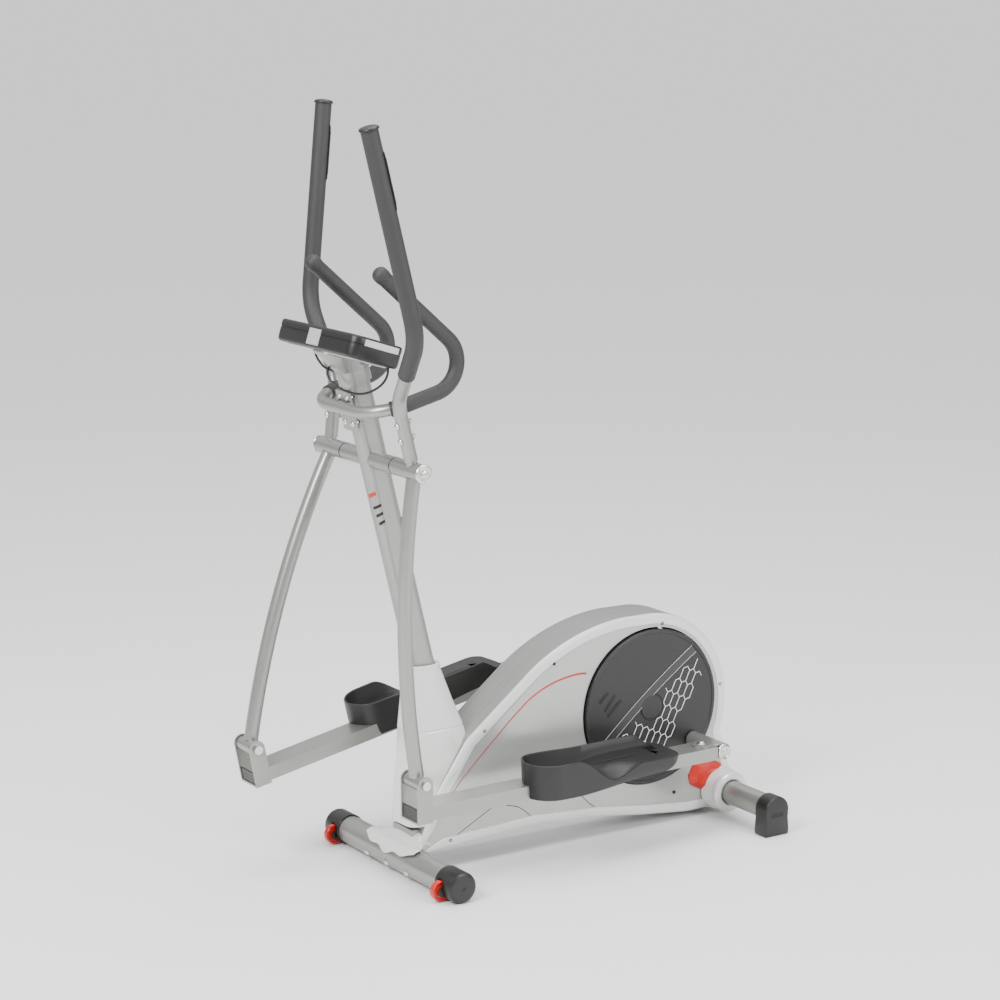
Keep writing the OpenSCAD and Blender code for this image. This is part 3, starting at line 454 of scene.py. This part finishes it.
def groove(name, points, side):
    """A thin dark line sunk in the housing's side face, through points in Y and Z."""
    line = smooth_route([(0, *p) for p in points], 6)
    x = SHELL_HALF - FACE_DROP - 0.3
    cord_curve(name, [(side * x, p.y, p.z) for p in line], 0.9, "shadow_gap")


def stripe(name, points, side, widths, material):
    """A flat raised stripe on the housing's side face, with a width at each end."""
    line = smooth_route([(0, *p) for p in points], 6)
    rows = []
    for i, p in enumerate(line):
        t = i / (len(line) - 1)
        d = (line[min(i + 1, len(line) - 1)] - line[max(i - 1, 0)]).normalized()
        off = Vector((0, -d.z, d.y)) * (widths[0] * (1 - t) + widths[1] * t) / 2
        base = SHELL_HALF - 3
        rows.append([(side * (base + h), q.y, q.z) for h, q in
                     ((0, p + off), (1.4, p + off * 0.85), (1.4, p - off * 0.85), (0, p - off))])
    points, faces = loft(rows)
    piece(name, points, faces, material, smooth=40)


for word, side in SIDES.items():
    housing_side(word, side)
    stripe(f"{word}_red_stripe", [(440, 371), (424, 373), (388, 370), (342, 359), (296, 337),
                                  (248, 300)], side, (5.5, 3.2), "red_gloss")
    stripe(f"{word}_stripe_tail", [(248, 300), (188, 247), (125, 189), (92, 150)], side,
           (2.6, 1.2), "dark_red")
    for k, (y, z) in enumerate(SCREWS):
        turned(f"{word}_screw_{k + 1}",
               [(SHELL_HALF - 4, 3.8), (SHELL_HALF + 0.1, 3.8), (SHELL_HALF + 0.6, 3.2),
                (SHELL_HALF + 0.6, 2.0), (SHELL_HALF - 0.8, 1.6), (SHELL_HALF - 0.8, 0.01)],
               (y, z), "black_mould", side, segments=24,
               covers=("housing_screws",) if side == LEFT and k == 0 else ())
    for place, points in GROOVES.items():
        groove(f"{word}_groove_{place}", points, side)

# ---- Side discs, which turn with the crank ----


LOUVRES = (((470, 302), (493, 322)), ((484, 281), (512, 314)), ((491, 269), (528, 301)))


def side_disc(word, side):
    """A dished disc with a raised diagonal band, a net of cells and three louvres."""
    r, x = DISC_R, DISC_X
    dish = 2.0
    profile = [(x - 13, r - 1), (x - 3, r), (x - 0.8, r - 0.8), (x, r - 2.6), (x, r - 6.5),
               (x - 0.6, r - 7.8), (x - dish, r - 8.6), (x - dish, 31), (x - dish - 1.2, 30.2),
               (x - dish - 1.2, 28.4), (x - 0.9, 27.6), (x - 0.3, 26), (x, 22), (x, 0.01)]
    turned(f"{word}_disc_dish", profile, crank_yz, "charcoal", side, segments=128,
           body="crank", covers=(f"{word}_disc",), smooth=25)
    # raised diagonal band with its light edge lines
    slope = math.radians(38.2)
    along, across = (math.cos(slope), math.sin(slope)), (-math.sin(slope), math.cos(slope))

    def spot(u, v, h):
        return (side * (x - dish + h), CRANK.y + u * along[0] + v * across[0],
                CRANK.z + u * along[1] + v * across[1])

    reach = r - 10
    offset = 21
    half = math.sqrt(reach ** 2 - (offset + 11) ** 2)
    count = 28
    rows, upper, lower = [], [], []
    for i in range(count + 1):
        u = -half + 2 * half * i / count
        bow = 7 * (1 - (u / half) ** 2)
        v = offset + bow
        rows.append([spot(u, v + a, h) for a, h in ((-10, -0.6), (-9.4, 1.3), (9.4, 1.3),
                                                    (10, -0.6))])
        upper.append(spot(u, v + 9.6, 1.15))
        lower.append(spot(u, v - 9.6, 1.15))
    points, faces = loft(rows)
    piece(f"{word}_disc_band", points, faces, "charcoal_band", body="crank", smooth=40)
    cord_curve(f"{word}_disc_band_lines", [upper, lower], 0.45, "silver_plastic", "crank")

    # a net of long six-sided cells below the band, and three louvres above it
    cell_w, straight, slant, lean = 18.0, 24.0, 7.0, math.radians(64)
    long_way, wide_way = (math.cos(lean), math.sin(lean)), (math.sin(lean), -math.cos(lean))

    def net(a, b):
        return (CRANK.y + a * long_way[0] + b * wide_way[0],
                CRANK.z + a * long_way[1] + b * wide_way[1])

    def kept(p):
        dy, dz = p[0] - CRANK.y, p[1] - CRANK.z
        v = dy * across[0] + dz * across[1]
        u = dy * along[0] + dz * along[1]
        return v < 8 and 31 < math.hypot(dy, dz) < reach - 8 and v > -92 + 0.34 * u

    lines = []
    face = side * (x - dish + 0.1)
    for i in range(-8, 9):
        for j in range(-11, 12):
            a, b = i * (straight + slant), (j + 0.5 * (i % 2)) * cell_w
            low, high = net(a - straight / 2, b), net(a + straight / 2, b)
            for start, end in ((low, high), (high, net(a + straight / 2 + slant, b - cell_w / 2)),
                               (high, net(a + straight / 2 + slant, b + cell_w / 2))):
                if kept(start) and kept(end):
                    lines.append([(face, *start), (face, *end)])
    cord_curve(f"{word}_disc_net", lines, 0.7, "bright_line", "crank")
    for k, (start, end) in enumerate(LOUVRES):
        start, end = Vector(start), Vector(end)
        step = (end - start).normalized()
        off = Vector((-step.y, step.x)) * 3.4
        rows = [[(side * (x - dish + h), *(start.lerp(end, t) + off * q)) for q, h in
                 ((-1, -0.5), (-0.8, top), (0.6, top), (1, -0.5))]
                for t, top in ((0, 0.1), (0.08, 1.3), (0.92, 1.3), (1, 0.1))]
        points, faces = loft(rows)
        piece(f"{word}_disc_louvre_{k + 1}", points, faces, "shadow_gap", body="crank")
        # a lighter line along each louvre's upper slope: a painted highlight
        edge = [(side * (x - dish + 1.1), *(start.lerp(end, t) + off * 0.85)) for t in (0.04, 0.96)]
        cord_curve(f"{word}_disc_louvre_highlight_{k + 1}", edge, 0.5, "charcoal_band", "crank")


for word, side in SIDES.items():
    side_disc(word, side)

# ---- Mast shroud and front skirt ----


def rounded_ring(x_half, y_half, power, y_mid, z, n=64):
    """A rounded rectangle at height z; a higher power squares its corners."""
    ring = []
    for k in range(n):
        a = 2 * math.pi * k / n
        c, s = math.cos(a), math.sin(a)
        x = x_half * math.copysign(abs(c) ** (2 / power), c)
        y = y_half * math.copysign(abs(s) ** (2 / power), s)
        ring.append((x, y_mid + y, z))
    return ring


# each ring: its height, middle in Y, half width, half depth and power
shroud = [(101, 92, 88, 51, 5.0), (130, 92, 86, 50, 5.0), (186, 90, 83, 46, 4.5),
          (240, 88, 78, 43, 4.0), (296, 81, 69.5, 40.5, 3.6), (297.5, 81, 68.3, 39.6, 3.6),
          (300.5, 80.6, 68.0, 39.4, 3.6), (302, 80, 68.6, 40.2, 3.6), (360, 70, 55, 35, 3.0),
          (410, 62, 44, 31, 2.6), (426, 59.5, 40.6, 29.4, 2.4), (430, 59, 41.6, 30.4, 2.4),
          (437, 57.5, 41.2, 30.2, 2.4), (438.5, 57.4, 39.5, 29, 2.4), (437, 57.6, 33.5, 23, 2.2),
          (424, 60.8, 33, 22.4, 2.2)]
points, faces = loft([rounded_ring(w, d, e, y, z) for z, y, d, w, e in shroud])
piece("shroud_moulding", points, faces, "pale_shell", covers=("mast_shroud",), smooth=28)


def skirt_moulding():
    """The saddle that flares from the shroud's foot over the stabilizer tube."""
    tube = middle("front_stabilizer") / MM
    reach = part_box("front_skirt")[1].x / MM - 2
    r = 34.5
    rows = []
    count = 44
    for i in range(count + 1):
        u = -1 + 2 * i / count
        x = u * reach
        rise = math.cos(u * math.pi / 2) ** 1.6
        wave = 13 * math.cos(u * math.pi * 1.5) ** 2 * (1 - 0.6 * u * u)
        first = math.radians(150 - 26 * u * u + wave)
        line = []
        for k in range(10):
            a = first + (math.radians(96) - first) * k / 9
            line.append((x, r * math.cos(a), tube.z + r * math.sin(a)))
        crest = tube.z + r + rise * 26
        near = max(-46.0, min(46.0, x))
        line += [(0.7 * x + 0.3 * near, 10 + 14 * rise, tube.z + r - 1 + rise * 20),
                 (0.3 * x + 0.7 * near, 26 + 10 * rise, crest),
                 (near, 60, tube.z + 18 + rise * 42), (near, 92, tube.z + 20 + rise * 42)]
        rows.append(line)
    n = len(rows[0])
    points = [p for row in rows for p in row]
    faces = [(i * n + k, i * n + k + 1, (i + 1) * n + k + 1, (i + 1) * n + k)
             for i in range(count) for k in range(n - 1)]
    obj = piece("skirt_moulding", points, faces, "pale_shell", covers=("front_skirt",), smooth=0)
    thick = obj.modifiers.new("wall", "SOLIDIFY")
    thick.thickness = 2.6 * MM
    thick.offset = 1
    finer = obj.modifiers.new("subdivision", "SUBSURF")
    finer.levels = finer.render_levels = 1
    shade_smooth(obj, 40)


skirt_moulding()

# ---- Rear collars and inserts ----

collar_x0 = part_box("rear_collars")[1].x / MM - 48
for word, side in SIDES.items():
    bore = 27.05
    profile = [(0, bore), (0, 49.8), (3, 49.8), (12, 48.4), (26, 45.6), (31, 44.2), (32, 42.6),
               (33.2, 42.6), (34.2, 44.6), (36, 46), (41, 46), (44.5, 44.6), (47.2, 40.5),
               (48, 36), (48, 31), (46, 28.5), (40, bore)]
    turned(f"{word}_collar_moulding", [(collar_x0 + x, r) for x, r in profile],
           (REAR.y, REAR.z), "pale_shell", side, smooth=30,
           covers=("rear_collars",) if side == LEFT else ())
    turned(f"{word}_collar_gap", [(collar_x0 + 31.8, 42.9), (collar_x0 + 33.6, 42.9)],
           (REAR.y, REAR.z), "shadow_gap", side)
    # faceted insert: a flat table with sloping sides
    rim = [(722, 76), (716, 96), (732, 124), (768, 131), (800, 116), (812, 103), (790, 62),
           (752, 60)]
    table = [(735, 84), (732, 97), (742, 115), (767, 121), (790, 108), (793, 104), (778, 76),
             (754, 72)]
    base = SHELL_HALF - 3
    rings = [[(side * (base + h), y, z) for y, z in line]
             for h, line in ((0, rim), (4, rim), (13.5, table))]
    points, faces = loft(rings)
    piece(f"{word}_insert_facets", points, faces, "red_gloss", smooth=0, bevel=0.8,
          covers=("side_inserts",) if side == LEFT else ())

# ---- Pedals ----


PIN_ALONG, PIN_DOWN = 765, -62.5  # the crank pin from the pedal pivot, in the rod's frame


def rod_place(word):
    """The pedal rod's front pivot, and its slope in radians."""
    pivot = joint_place(f"{word}_pedal_pivot")
    pin = drawn(middle(f"{word}_crank_pin"))
    straight = math.atan2(PIN_DOWN, PIN_ALONG)
    return pivot, math.atan2(pin.z - pivot.z, pin.y - pivot.y) - straight


def pedal_moulding(word, side):
    """A foot bed with a deep toe cup, a raised inner edge and a low notched outer wall."""
    pivot, slope = rod_place(word)
    cs, sn = math.cos(slope), math.sin(slope)

    def place(x, y, z):
        return (side * x, pivot.y + y * cs - z * sn, pivot.z + y * sn + z * cs)

    x0, x1, y0, y1 = 120.4, 235.6, 249.6, 616.6
    outline = resample(
        arc((x0 + 36, y0 + 44), 36, 180, 248, 7) + arc((x1 - 62, y0 + 60), 60, 262, 360, 12)
        + [(x1 + 1.6, y0 + 150), (x1 + 1.4, y0 + 250)]
        + arc((x1 - 34, y1 - 34), 34, 0, 78, 8) + [((x0 + x1) / 2, y1)]
        + arc((x0 + 20, y1 - 20), 20, 100, 180, 6), 132)
    outline = [Vector((min(x1, max(x0, p.x)), min(y1, max(y0, p.y)))) for p in outline]

    def ease(t):
        t = min(1.0, max(0.0, t))
        return t * t * (3 - 2 * t)

    def rim_height(p):
        inner = -4 * ease((p.y - 300) / 120) - 24 * ease((p.y - 560) / 40)
        fall = -54 * ease((p.y - 345) / 95)
        climb = 25 * ease((p.y - 440) / 75)
        outer = fall + climb
        share = ease((p.x - x0 - 34) / 46)
        return inner * (1 - share) + outer * share

    def base_height(p):
        return -75.6 + 16 * ease((p.y - 330) / 230) + 14 * ease((p.y - 565) / 52)

    def bed_height(y):
        return -38 + 9 * ease((y - 395) / 90)

    def ring(d, height):
        moved = [Vector((q.x, q.y)) for q in inset(outline[::-1], d)][::-1]
        return [place(q.x, q.y, height(p, q)) for p, q in zip(outline, moved)]

    def floor_at(p, q):
        return min(bed_height(q.y), rim_height(p) - 0.6)

    def dipped(p, q, share):
        """Between the bed and the low floor beside the rim."""
        return bed_height(q.y) * (1 - share) + floor_at(p, q) * share

    # from under the base, up the wall, over the rim and down to the bed
    steps = [
        (26, lambda p, q: base_height(p) + 16),
        (24, lambda p, q: base_height(p) + 1),
        (5.5, lambda p, q: base_height(p)),
        (3.4, lambda p, q: base_height(p) + 2),
        (1.2, lambda p, q: 0.5 * (base_height(p) + rim_height(p))),
        (0.4, lambda p, q: rim_height(p) - 4),
        (0.5, lambda p, q: rim_height(p) - 1.2),
        (1.6, lambda p, q: rim_height(p) - 0.2),
        (3.2, lambda p, q: rim_height(p) - 0.2),
        (4.6, lambda p, q: max(rim_height(p) - 1.6, floor_at(p, q))),
        (6.5, lambda p, q: max(0.45 * rim_height(p) + 0.55 * floor_at(p, q), floor_at(p, q))),
        (9.5, floor_at),
        (15, lambda p, q: dipped(p, q, 0.8)),
        (22, lambda p, q: dipped(p, q, 0.55)),
        (30, lambda p, q: dipped(p, q, 0.3)),
        (38, lambda p, q: dipped(p, q, 0.12)),
        (48, lambda p, q: bed_height(q.y)),
    ]
    rings = [ring(d, height) for d, height in steps]
    points, faces = loft(rings)
    piece(f"{word}_pedal_moulding", points, faces, "pedal_mould", body=f"{word}_rod",
          covers=(f"{word}_pedal",), smooth=38)


for word, side in SIDES.items():
    pedal_moulding(word, side)

# ---- Feet, end caps and wheels ----

rear_low, rear_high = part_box("rear_feet")
foot_half = (rear_high.y - rear_low.y) / 2 / MM
foot_x1 = rear_high.x / MM
for word, side in SIDES.items():
    outline = ([(REAR.y - foot_half + 1.5, 0.2), (REAR.y + foot_half - 1.5, 0.2),
                (REAR.y + foot_half, 9), (REAR.y + foot_half - 2.5, 40)]
               + arc((REAR.y, REAR.z), foot_half - 1.5, 0, 180, 20)
               + [(REAR.y - foot_half + 2.5, 40), (REAR.y - foot_half, 9)])
    slab(f"{word}_foot_moulding", outline, foot_x1 - 40, foot_x1 - 0.2, "black_mould", side,
         bevel=3.2, smooth=40, covers=("rear_feet",) if side == LEFT else ())
    slot = [(REAR.y - 17, 42), (REAR.y + 17, 42), (REAR.y + 17, 53), (REAR.y - 17, 53)]
    slab(f"{word}_foot_slot", slot, foot_x1 - 4, foot_x1, "shadow_gap", side, bevel=1.0)

front_z = middle("front_stabilizer").z / MM
cap_x1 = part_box("front_end_caps")[1].x / MM
cap_r = front_z
wheel = {word: drawn(middle(f"{word}_transport_wheel")) for word in SIDES}
wheel_r = (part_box("left_transport_wheel")[1].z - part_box("left_transport_wheel")[0].z) / 2 / MM
for word, side in SIDES.items():
    # a round cap whose lower front is cut away round the wheel
    wx, wy, wz = abs(wheel[word].x), wheel[word].y, wheel[word].z
    profile = [(cap_x1 - 60, 30.1), (cap_x1 - 60, cap_r - 1.2), (cap_x1 - 58.5, cap_r - 0.1),
               (cap_x1 - 8, cap_r - 0.1), (cap_x1 - 3.5, cap_r - 1.4), (cap_x1 - 1, cap_r - 4.5),
               (cap_x1 - 0.2, cap_r - 9), (cap_x1 - 0.2, 4.4), (cap_x1 - 1.4, 4.0),
               (cap_x1 - 1.4, 0.01)]
    cap = turned(f"{word}_cap_moulding", profile, (0, front_z), "black_mould", side,
                 covers=("front_end_caps",) if side == LEFT else (), smooth=0)
    pocket = turned(f"{word}_cap_pocket", [(wx - 9, wheel_r + 2.6), (wx + 9, wheel_r + 2.6)],
                    (wy, wz), "black_mould", side, smooth=0)
    cut = cap.modifiers.new("wheel pocket", "BOOLEAN")
    cut.object = pocket
    cut.operation = "DIFFERENCE"
    bpy.context.view_layer.objects.active = cap
    bpy.ops.object.modifier_apply(modifier=cut.name)
    bpy.data.objects.remove(pocket)
    shade_smooth(cap, 34)
    for k, x in enumerate((wx - 12, wx + 9.4)):
        turned(f"{word}_wheel_ear_{k + 1}",
               [(x, 8), (x + 0.6, 10.4), (x + 2.2, 10.8), (x + 2.8, 8)], (wy, wz),
               "black_mould", side)
    profile = [(wx - 12, 0.01), (wx - 12, 3.9), (wx - 6.6, 3.9), (wx - 6.6, 11), (wx - 4.6, 12),
               (wx - 4.6, wheel_r - 5), (wx - 6.8, wheel_r - 3.6), (wx - 6.8, wheel_r - 1.2),
               (wx - 5.6, wheel_r - 0.2), (wx, wheel_r), (wx + 5.6, wheel_r - 0.2),
               (wx + 6.8, wheel_r - 1.2), (wx + 6.8, wheel_r - 3.6), (wx + 4.6, wheel_r - 5),
               (wx + 4.6, 12), (wx + 6.6, 11), (wx + 6.6, 3.9), (wx + 12, 3.9), (wx + 12, 0.01)]
    turned(f"{word}_wheel_tyre", profile, (wy, wz), "red_gloss", side, body=f"{word}_wheel",
           covers=(f"{word}_transport_wheel",))

# ---- Console ----

CONSOLE = drawn(middle("console_case", "console_face"))
CONSOLE_TILT = Matrix.Rotation(math.radians(-18), 4, "X")
CONSOLE_W, CONSOLE_L, CONSOLE_R = 306, 122, 22


def on_console(x, y, z):
    return CONSOLE + CONSOLE_TILT @ Vector((x, y, z))


def rounded_rect(w, h, r, n=8):
    line = []
    for cx, cy, a in ((1, 1, 0), (-1, 1, 90), (-1, -1, 180), (1, -1, 270)):
        line += arc((cx * (w / 2 - r), cy * (h / 2 - r)), r, a, a + 90, n)
    return line


def console_plate(name, w, h, r, steps, material, y=0.0, **options):
    """A rounded plate square to the console; each step is an inset and a height."""
    rings = [[on_console(px, y + py, z)
              for px, py in rounded_rect(w - 2 * d, h - 2 * d, max(r - d, 0.4))]
             for d, z in steps]
    points, faces = loft(rings)
    return piece(name, points, faces, material, **options)


console_plate("console_shell", CONSOLE_W, CONSOLE_L, CONSOLE_R,
              [(18, -23), (9, -23), (4, -21.9), (1.4, -19), (0.3, -14), (0.1, 5.2), (1.4, 6.0),
               (1.4, 7.4), (0.1, 8.2), (0, 17.0), (0.8, 20.2), (2.6, 22.3), (5, 23), (8.5, 23),
               (9.6, 22.3), (10.6, 21.6), (12, 21.4)],
              "black_mould", covers=("console_case", "console_face"), smooth=28)
console_plate("console_base_plate", 262, 88, 14, [(0, -22.6), (0, -24), (1, -24.8), (3, -25)],
              "silver_plastic", smooth=30)
console_plate("console_screen_frame", 142, 76, 8,
              [(0, 21), (0, 22.2), (1, 22.9), (7, 22.9), (8.4, 22.2), (8.4, 21)],
              "charcoal", y=-11, smooth=30)
console_plate("console_screen", 124, 58, 3, [(0, 21), (0, 22.1), (0.6, 22.3)], "screen_glass",
              y=-11)
console_plate("console_screen_film", 108, 44, 2, [(0, 22), (0, 22.4)], "screen_film", y=-11,
              smooth=0)

EDGE_POINTS = 300
console_line = resample(rounded_rect(CONSOLE_W, CONSOLE_L, CONSOLE_R), EDGE_POINTS)
console_rings = {d: inset(console_line[::-1], d)[::-1] for d in (1.8, -0.7)}


def console_strip(name, seen, z0, z1, material):
    """A raised insert on the console's edge, where its outline passes the test."""
    rows = []
    for i in sorted((i for i, p in enumerate(console_line) if seen(p)),
                    key=lambda i: (i + EDGE_POINTS // 2) % EDGE_POINTS):
        rows.append([on_console(*console_rings[d][i], z) for d, z in
                     ((1.8, z0), (-0.7, z0 + 1), (-0.7, z1 - 1), (1.8, z1))])
    points, faces = loft(rows)
    piece(name, points, faces, material, smooth=35)


console_strip("console_front_insert", lambda p: p.y < -60 and -22 < p.x < 26, -17, 17,
              "silver_plastic")
console_strip("left_console_side_insert", lambda p: p.x > 140 and -36 < p.y < 46, 5.4, 19.5,
              "silver_plastic")
console_strip("right_console_side_insert", lambda p: p.x < -140 and -36 < p.y < 46, 5.4, 19.5,
              "silver_plastic")
for word in ("mode_button", "reset_button"):
    spot = CONSOLE_TILT.inverted() @ (drawn(middle(word)) - CONSOLE)
    rings = [[on_console(x, y, z) for x, y in circle(spot, r, 40)]
             for r, z in ((11, 21), (11, 22), (10.2, 23), (8.4, 23), (7.6, 22.4), (7.6, 21))]
    points, faces = loft(rings)
    piece(f"{word}_ring", points, faces, "charcoal", smooth=30)

# ---- Parts that are round about a bar's own axis ----


def about(name, frame_of, profile, material, side=LEFT, segments=48, spread=(0, 360), **options):
    """A solid turned about the local Z of a frame. The profile is (distance along, radius)."""
    whole = spread == (0, 360)
    count = segments if whole else segments + 1
    rings = []
    for s, r in profile:
        ring = []
        for k in range(count):
            a = math.radians(spread[0] + (spread[1] - spread[0]) * k / segments)
            p = frame_of @ Vector((r * math.cos(a), r * math.sin(a), s))
            ring.append((side * p.x, p.y, p.z))
        rings.append(ring)
    points, faces = loft(rings)
    return piece(name, points, faces, material, **options)


def turn(axis, degrees):
    return Matrix.Rotation(math.radians(degrees), 4, axis)


def shift(x, y, z):
    return Matrix.Translation((x, y, z))


def along_run(start, steps):
    """The frame at the end of a bent bar's run: each step is a straight, a bend, its radius
    and its direction."""
    place = start
    for straight, bend, r, way in steps:
        b = math.radians(bend)
        place = (place @ shift(0, 0, straight) @ turn("Z", way)
                 @ shift(r * (1 - math.cos(b)), 0, r * math.sin(b)) @ turn("Y", bend)
                 @ turn("Z", -way))
    return place


BOW = shift(0, -122.5, 990) @ turn("X", 14) @ shift(54, 0, 0) @ turn("Y", 90)
BOW_RUN = [(0, 90, 80, 90), (65, 124.5, 62, 180), (206, 0, 0, 0)]
BOW_FOAM = [(0, 62, 80, 90)]
bar_end = along_run(BOW, BOW_RUN)
foam_start = along_run(BOW, BOW_FOAM)
for word, side in SIDES.items():
    about(f"{word}_bar_end_cap", bar_end,
          [(-13, 13.2), (-13, 15.6), (-11, 16.4), (-2, 16.7), (4, 16.0), (8.4, 13.6), (11.4, 9.8),
           (13.0, 5), (13.4, 0.01)], "foam", side, smooth=40)
    about(f"{word}_bar_foam_lip", foam_start,
          [(0.4, 13.15), (-2.2, 13.2), (-3.0, 14.0), (-2.6, 15.2), (-1.2, 15.65), (0.4, 15.6)],
          "foam", side, smooth=50)

# ---- Handles ----

HANDLE_LEAN, HANDLE_LEN = 13.3, 708
ARM_X, FLARE_LOW, FLARE_OUT, FLARE = 165, 142, 131, 42  # the flare's bend is in degrees


def handle_frame(word):
    """The upper handle's own frame, from the hub up; the arm swings with its lower pivot."""
    low = joint_place(f"{word}_pedal_pivot")
    swing = math.degrees(math.atan2(low.y - HUB.y, HUB.z - low.z))
    return (shift(0, HUB.y, HUB.z) @ turn("X", swing) @ shift(ARM_X, 0, 0)
            @ turn("X", HANDLE_LEAN))


for word, side in SIDES.items():
    body = f"{word}_arm"
    base = handle_frame(word)
    top = base @ shift(FLARE_OUT, 0, 0)
    about(f"{word}_handle_knob", top,
          [(HANDLE_LEN - 9.4, 14.2), (HANDLE_LEN - 9.4, 17.8), (HANDLE_LEN - 8.4, 19.4),
           (HANDLE_LEN - 6.4, 20), (HANDLE_LEN - 4.6, 19.6), (HANDLE_LEN - 3.0, 17.8),
           (HANDLE_LEN - 1.6, 14.2), (HANDLE_LEN - 0.6, 9), (HANDLE_LEN - 0.2, 4),
           (HANDLE_LEN - 0.2, 0.01)], "black_mould", side, body=body,
          covers=(f"{word}_handle_cap",), smooth=40)
    # sensor pad on the rear of the grip: a raised black bed with a bright plate
    about(f"{word}_sensor_pad", top,
          [(540, 17.3), (542, 18.4), (546, 19.2), (650, 19.2), (654, 18.4), (656, 17.3)],
          "black_mould", side, segments=16, spread=(38, 142), body=body, smooth=40)
    about(f"{word}_sensor_plate", top,
          [(552, 19.0), (554, 19.9), (642, 19.9), (644, 19.0)], "zinc", side, segments=12,
          spread=(52, 128), body=body, smooth=40)
    flare = base @ shift(0, 0, FLARE_LOW) @ turn("Y", FLARE)
    about(f"{word}_grip_lip", flare,
          [(91.6, 14.1), (89.2, 14.15), (88.2, 15.2), (88.5, 16.7), (89.8, 17.5), (91.6, 17.55)],
          "foam", side, body=body, smooth=50)
    turned(f"{word}_hub_seal", [(97.2, 10.4), (97.2, 17.7), (98.2, 18.3), (99.8, 18.3),
                                (100.7, 17.7), (100.7, 10.4)], (HUB.y, HUB.z), "black_mould",
           side)
    turned(f"{word}_hub_cover",
           [(201.7, 10.2), (201.7, 18.6), (202.4, 19.2), (204.8, 19.2), (206.0, 18.2),
            (206.4, 14.6), (205.6, 13.8), (205.4, 9.0), (206.2, 8.2), (208.8, 7.8),
            (210.2, 6.8), (210.8, 4.6), (210.8, 2.6), (209.4, 2.2), (209.4, 0.01)],
           (HUB.y, HUB.z), "zinc", side, covers=("hub_caps",) if side == LEFT else ())

# ---- Mast accents, plain bars in place of lettering ----


MAST_TILT = 13.8
MAST_LEAN = math.tan(math.radians(MAST_TILT))


def on_mast(z):
    """The mast's frame at a height."""
    return shift(0, HUB.y + 6 - (z - HUB.z + 4) * MAST_LEAN, z) @ turn("X", MAST_TILT)


def mast_patch(name, z0, length, turn0, turn1, skew, material):
    """A thin bar wrapped on the mast's front edge; skew lifts one end."""
    place = on_mast(z0)
    rows = []
    for k in range(13):
        a = math.radians(turn0 + (turn1 - turn0) * k / 12)
        lift = skew * k / 12
        rows.append([place @ Vector((r * math.sin(a), -10 - r * math.cos(a), lift + s))
                     for r, s in ((19.6, 0), (20.35, 0.4), (20.35, length - 0.4), (19.6, length))])
    points, faces = loft(rows)
    piece(name, points, faces, material, smooth=30)


mast_patch("mast_red_bar", 806, 9, 4, 58, 6, "red_gloss")
for k in range(3):
    mast_patch(f"mast_dark_bar_{k + 1}", 782 - 17 * k, 7, 22 + 7 * k, 74, 5, "shadow_gap")

# ---- Crank pin covers and washers, in each pedal rod's own frame ----


def rod_frame(word):
    pivot, slope = rod_place(word)
    return shift(0, pivot.y, pivot.z) @ turn("X", math.degrees(slope))


for word, side in SIDES.items():
    rod = rod_frame(word)
    pin_axis = rod @ shift(0, PIN_ALONG, PIN_DOWN) @ turn("Y", 90)
    about(f"{word}_pin_cover", pin_axis,
          [(176.9, 8.2), (176.9, 15.4), (178, 17.2), (180.4, 17.6), (182.2, 16.6), (183.2, 13),
           (182.6, 12), (182.8, 7), (184.6, 6.2), (185.4, 4.4), (185.4, 0.01)], "zinc", side,
          body=f"{word}_rod", smooth=35)
    washer = rod @ shift(154, 722, -48)
    about(f"{word}_joint_washer", washer,
          [(3.6, 10.6), (5.4, 10.8), (5.9, 10.2), (5.9, 4.4), (3.6, 4.4)], "zinc", side,
          body=f"{word}_rod", smooth=35)

# ---- Materials of the CAD pieces ----

CAD_MATERIALS = {
    "silver_coat": ("main_frame", "front_stabilizer", "rear_stabilizer", "mast",
                    "fixed_handlebar", "console_bracket", "left_lower_arm", "right_lower_arm",
                    "left_upper_handle", "right_upper_handle", "left_pedal_tube",
                    "right_pedal_tube", "left_crank_joint", "right_crank_joint"),
    "zinc": ("frame_bolts", "left_arm_bolts", "right_arm_bolts", "left_rod_bolts",
             "right_rod_bolts", "left_crank_pin", "right_crank_pin", "hub_caps"),
    "turned_steel": ("pivot_axle", "crank_axle", "crank_bearings", "crank_arms",
                     "idler_roller"),
    "iron_cast": ("flywheel", "brake_magnets"),
    "foam": ("fixed_bar_grips", "left_handle_grip", "right_handle_grip"),
    "black_mould": ("resistance_knob", "left_tube_plug", "right_tube_plug", "crank_pulley",
                    "housing_screws", "left_handle_cap", "right_handle_cap", "front_end_caps",
                    "rear_feet", "console_case", "console_face", "left_pedal", "right_pedal"),
    "pale_shell": ("left_housing_shell", "right_housing_shell", "mast_shroud", "front_skirt",
                   "rear_collars"),
    "charcoal": ("left_disc", "right_disc"),
    "red_gloss": ("side_inserts", "left_transport_wheel", "right_transport_wheel"),
    "silver_plastic": ("mode_button", "reset_button"),
    "belt": ("drive_belt",),
    "cable_jacket": ("pulse_cable", "sensor_lead"),
}
for material, names in CAD_MATERIALS.items():
    for node in names:
        nodes[node].data.materials.clear()
        nodes[node].data.materials.append(materials[material])
        shade_smooth(nodes[node], 28)
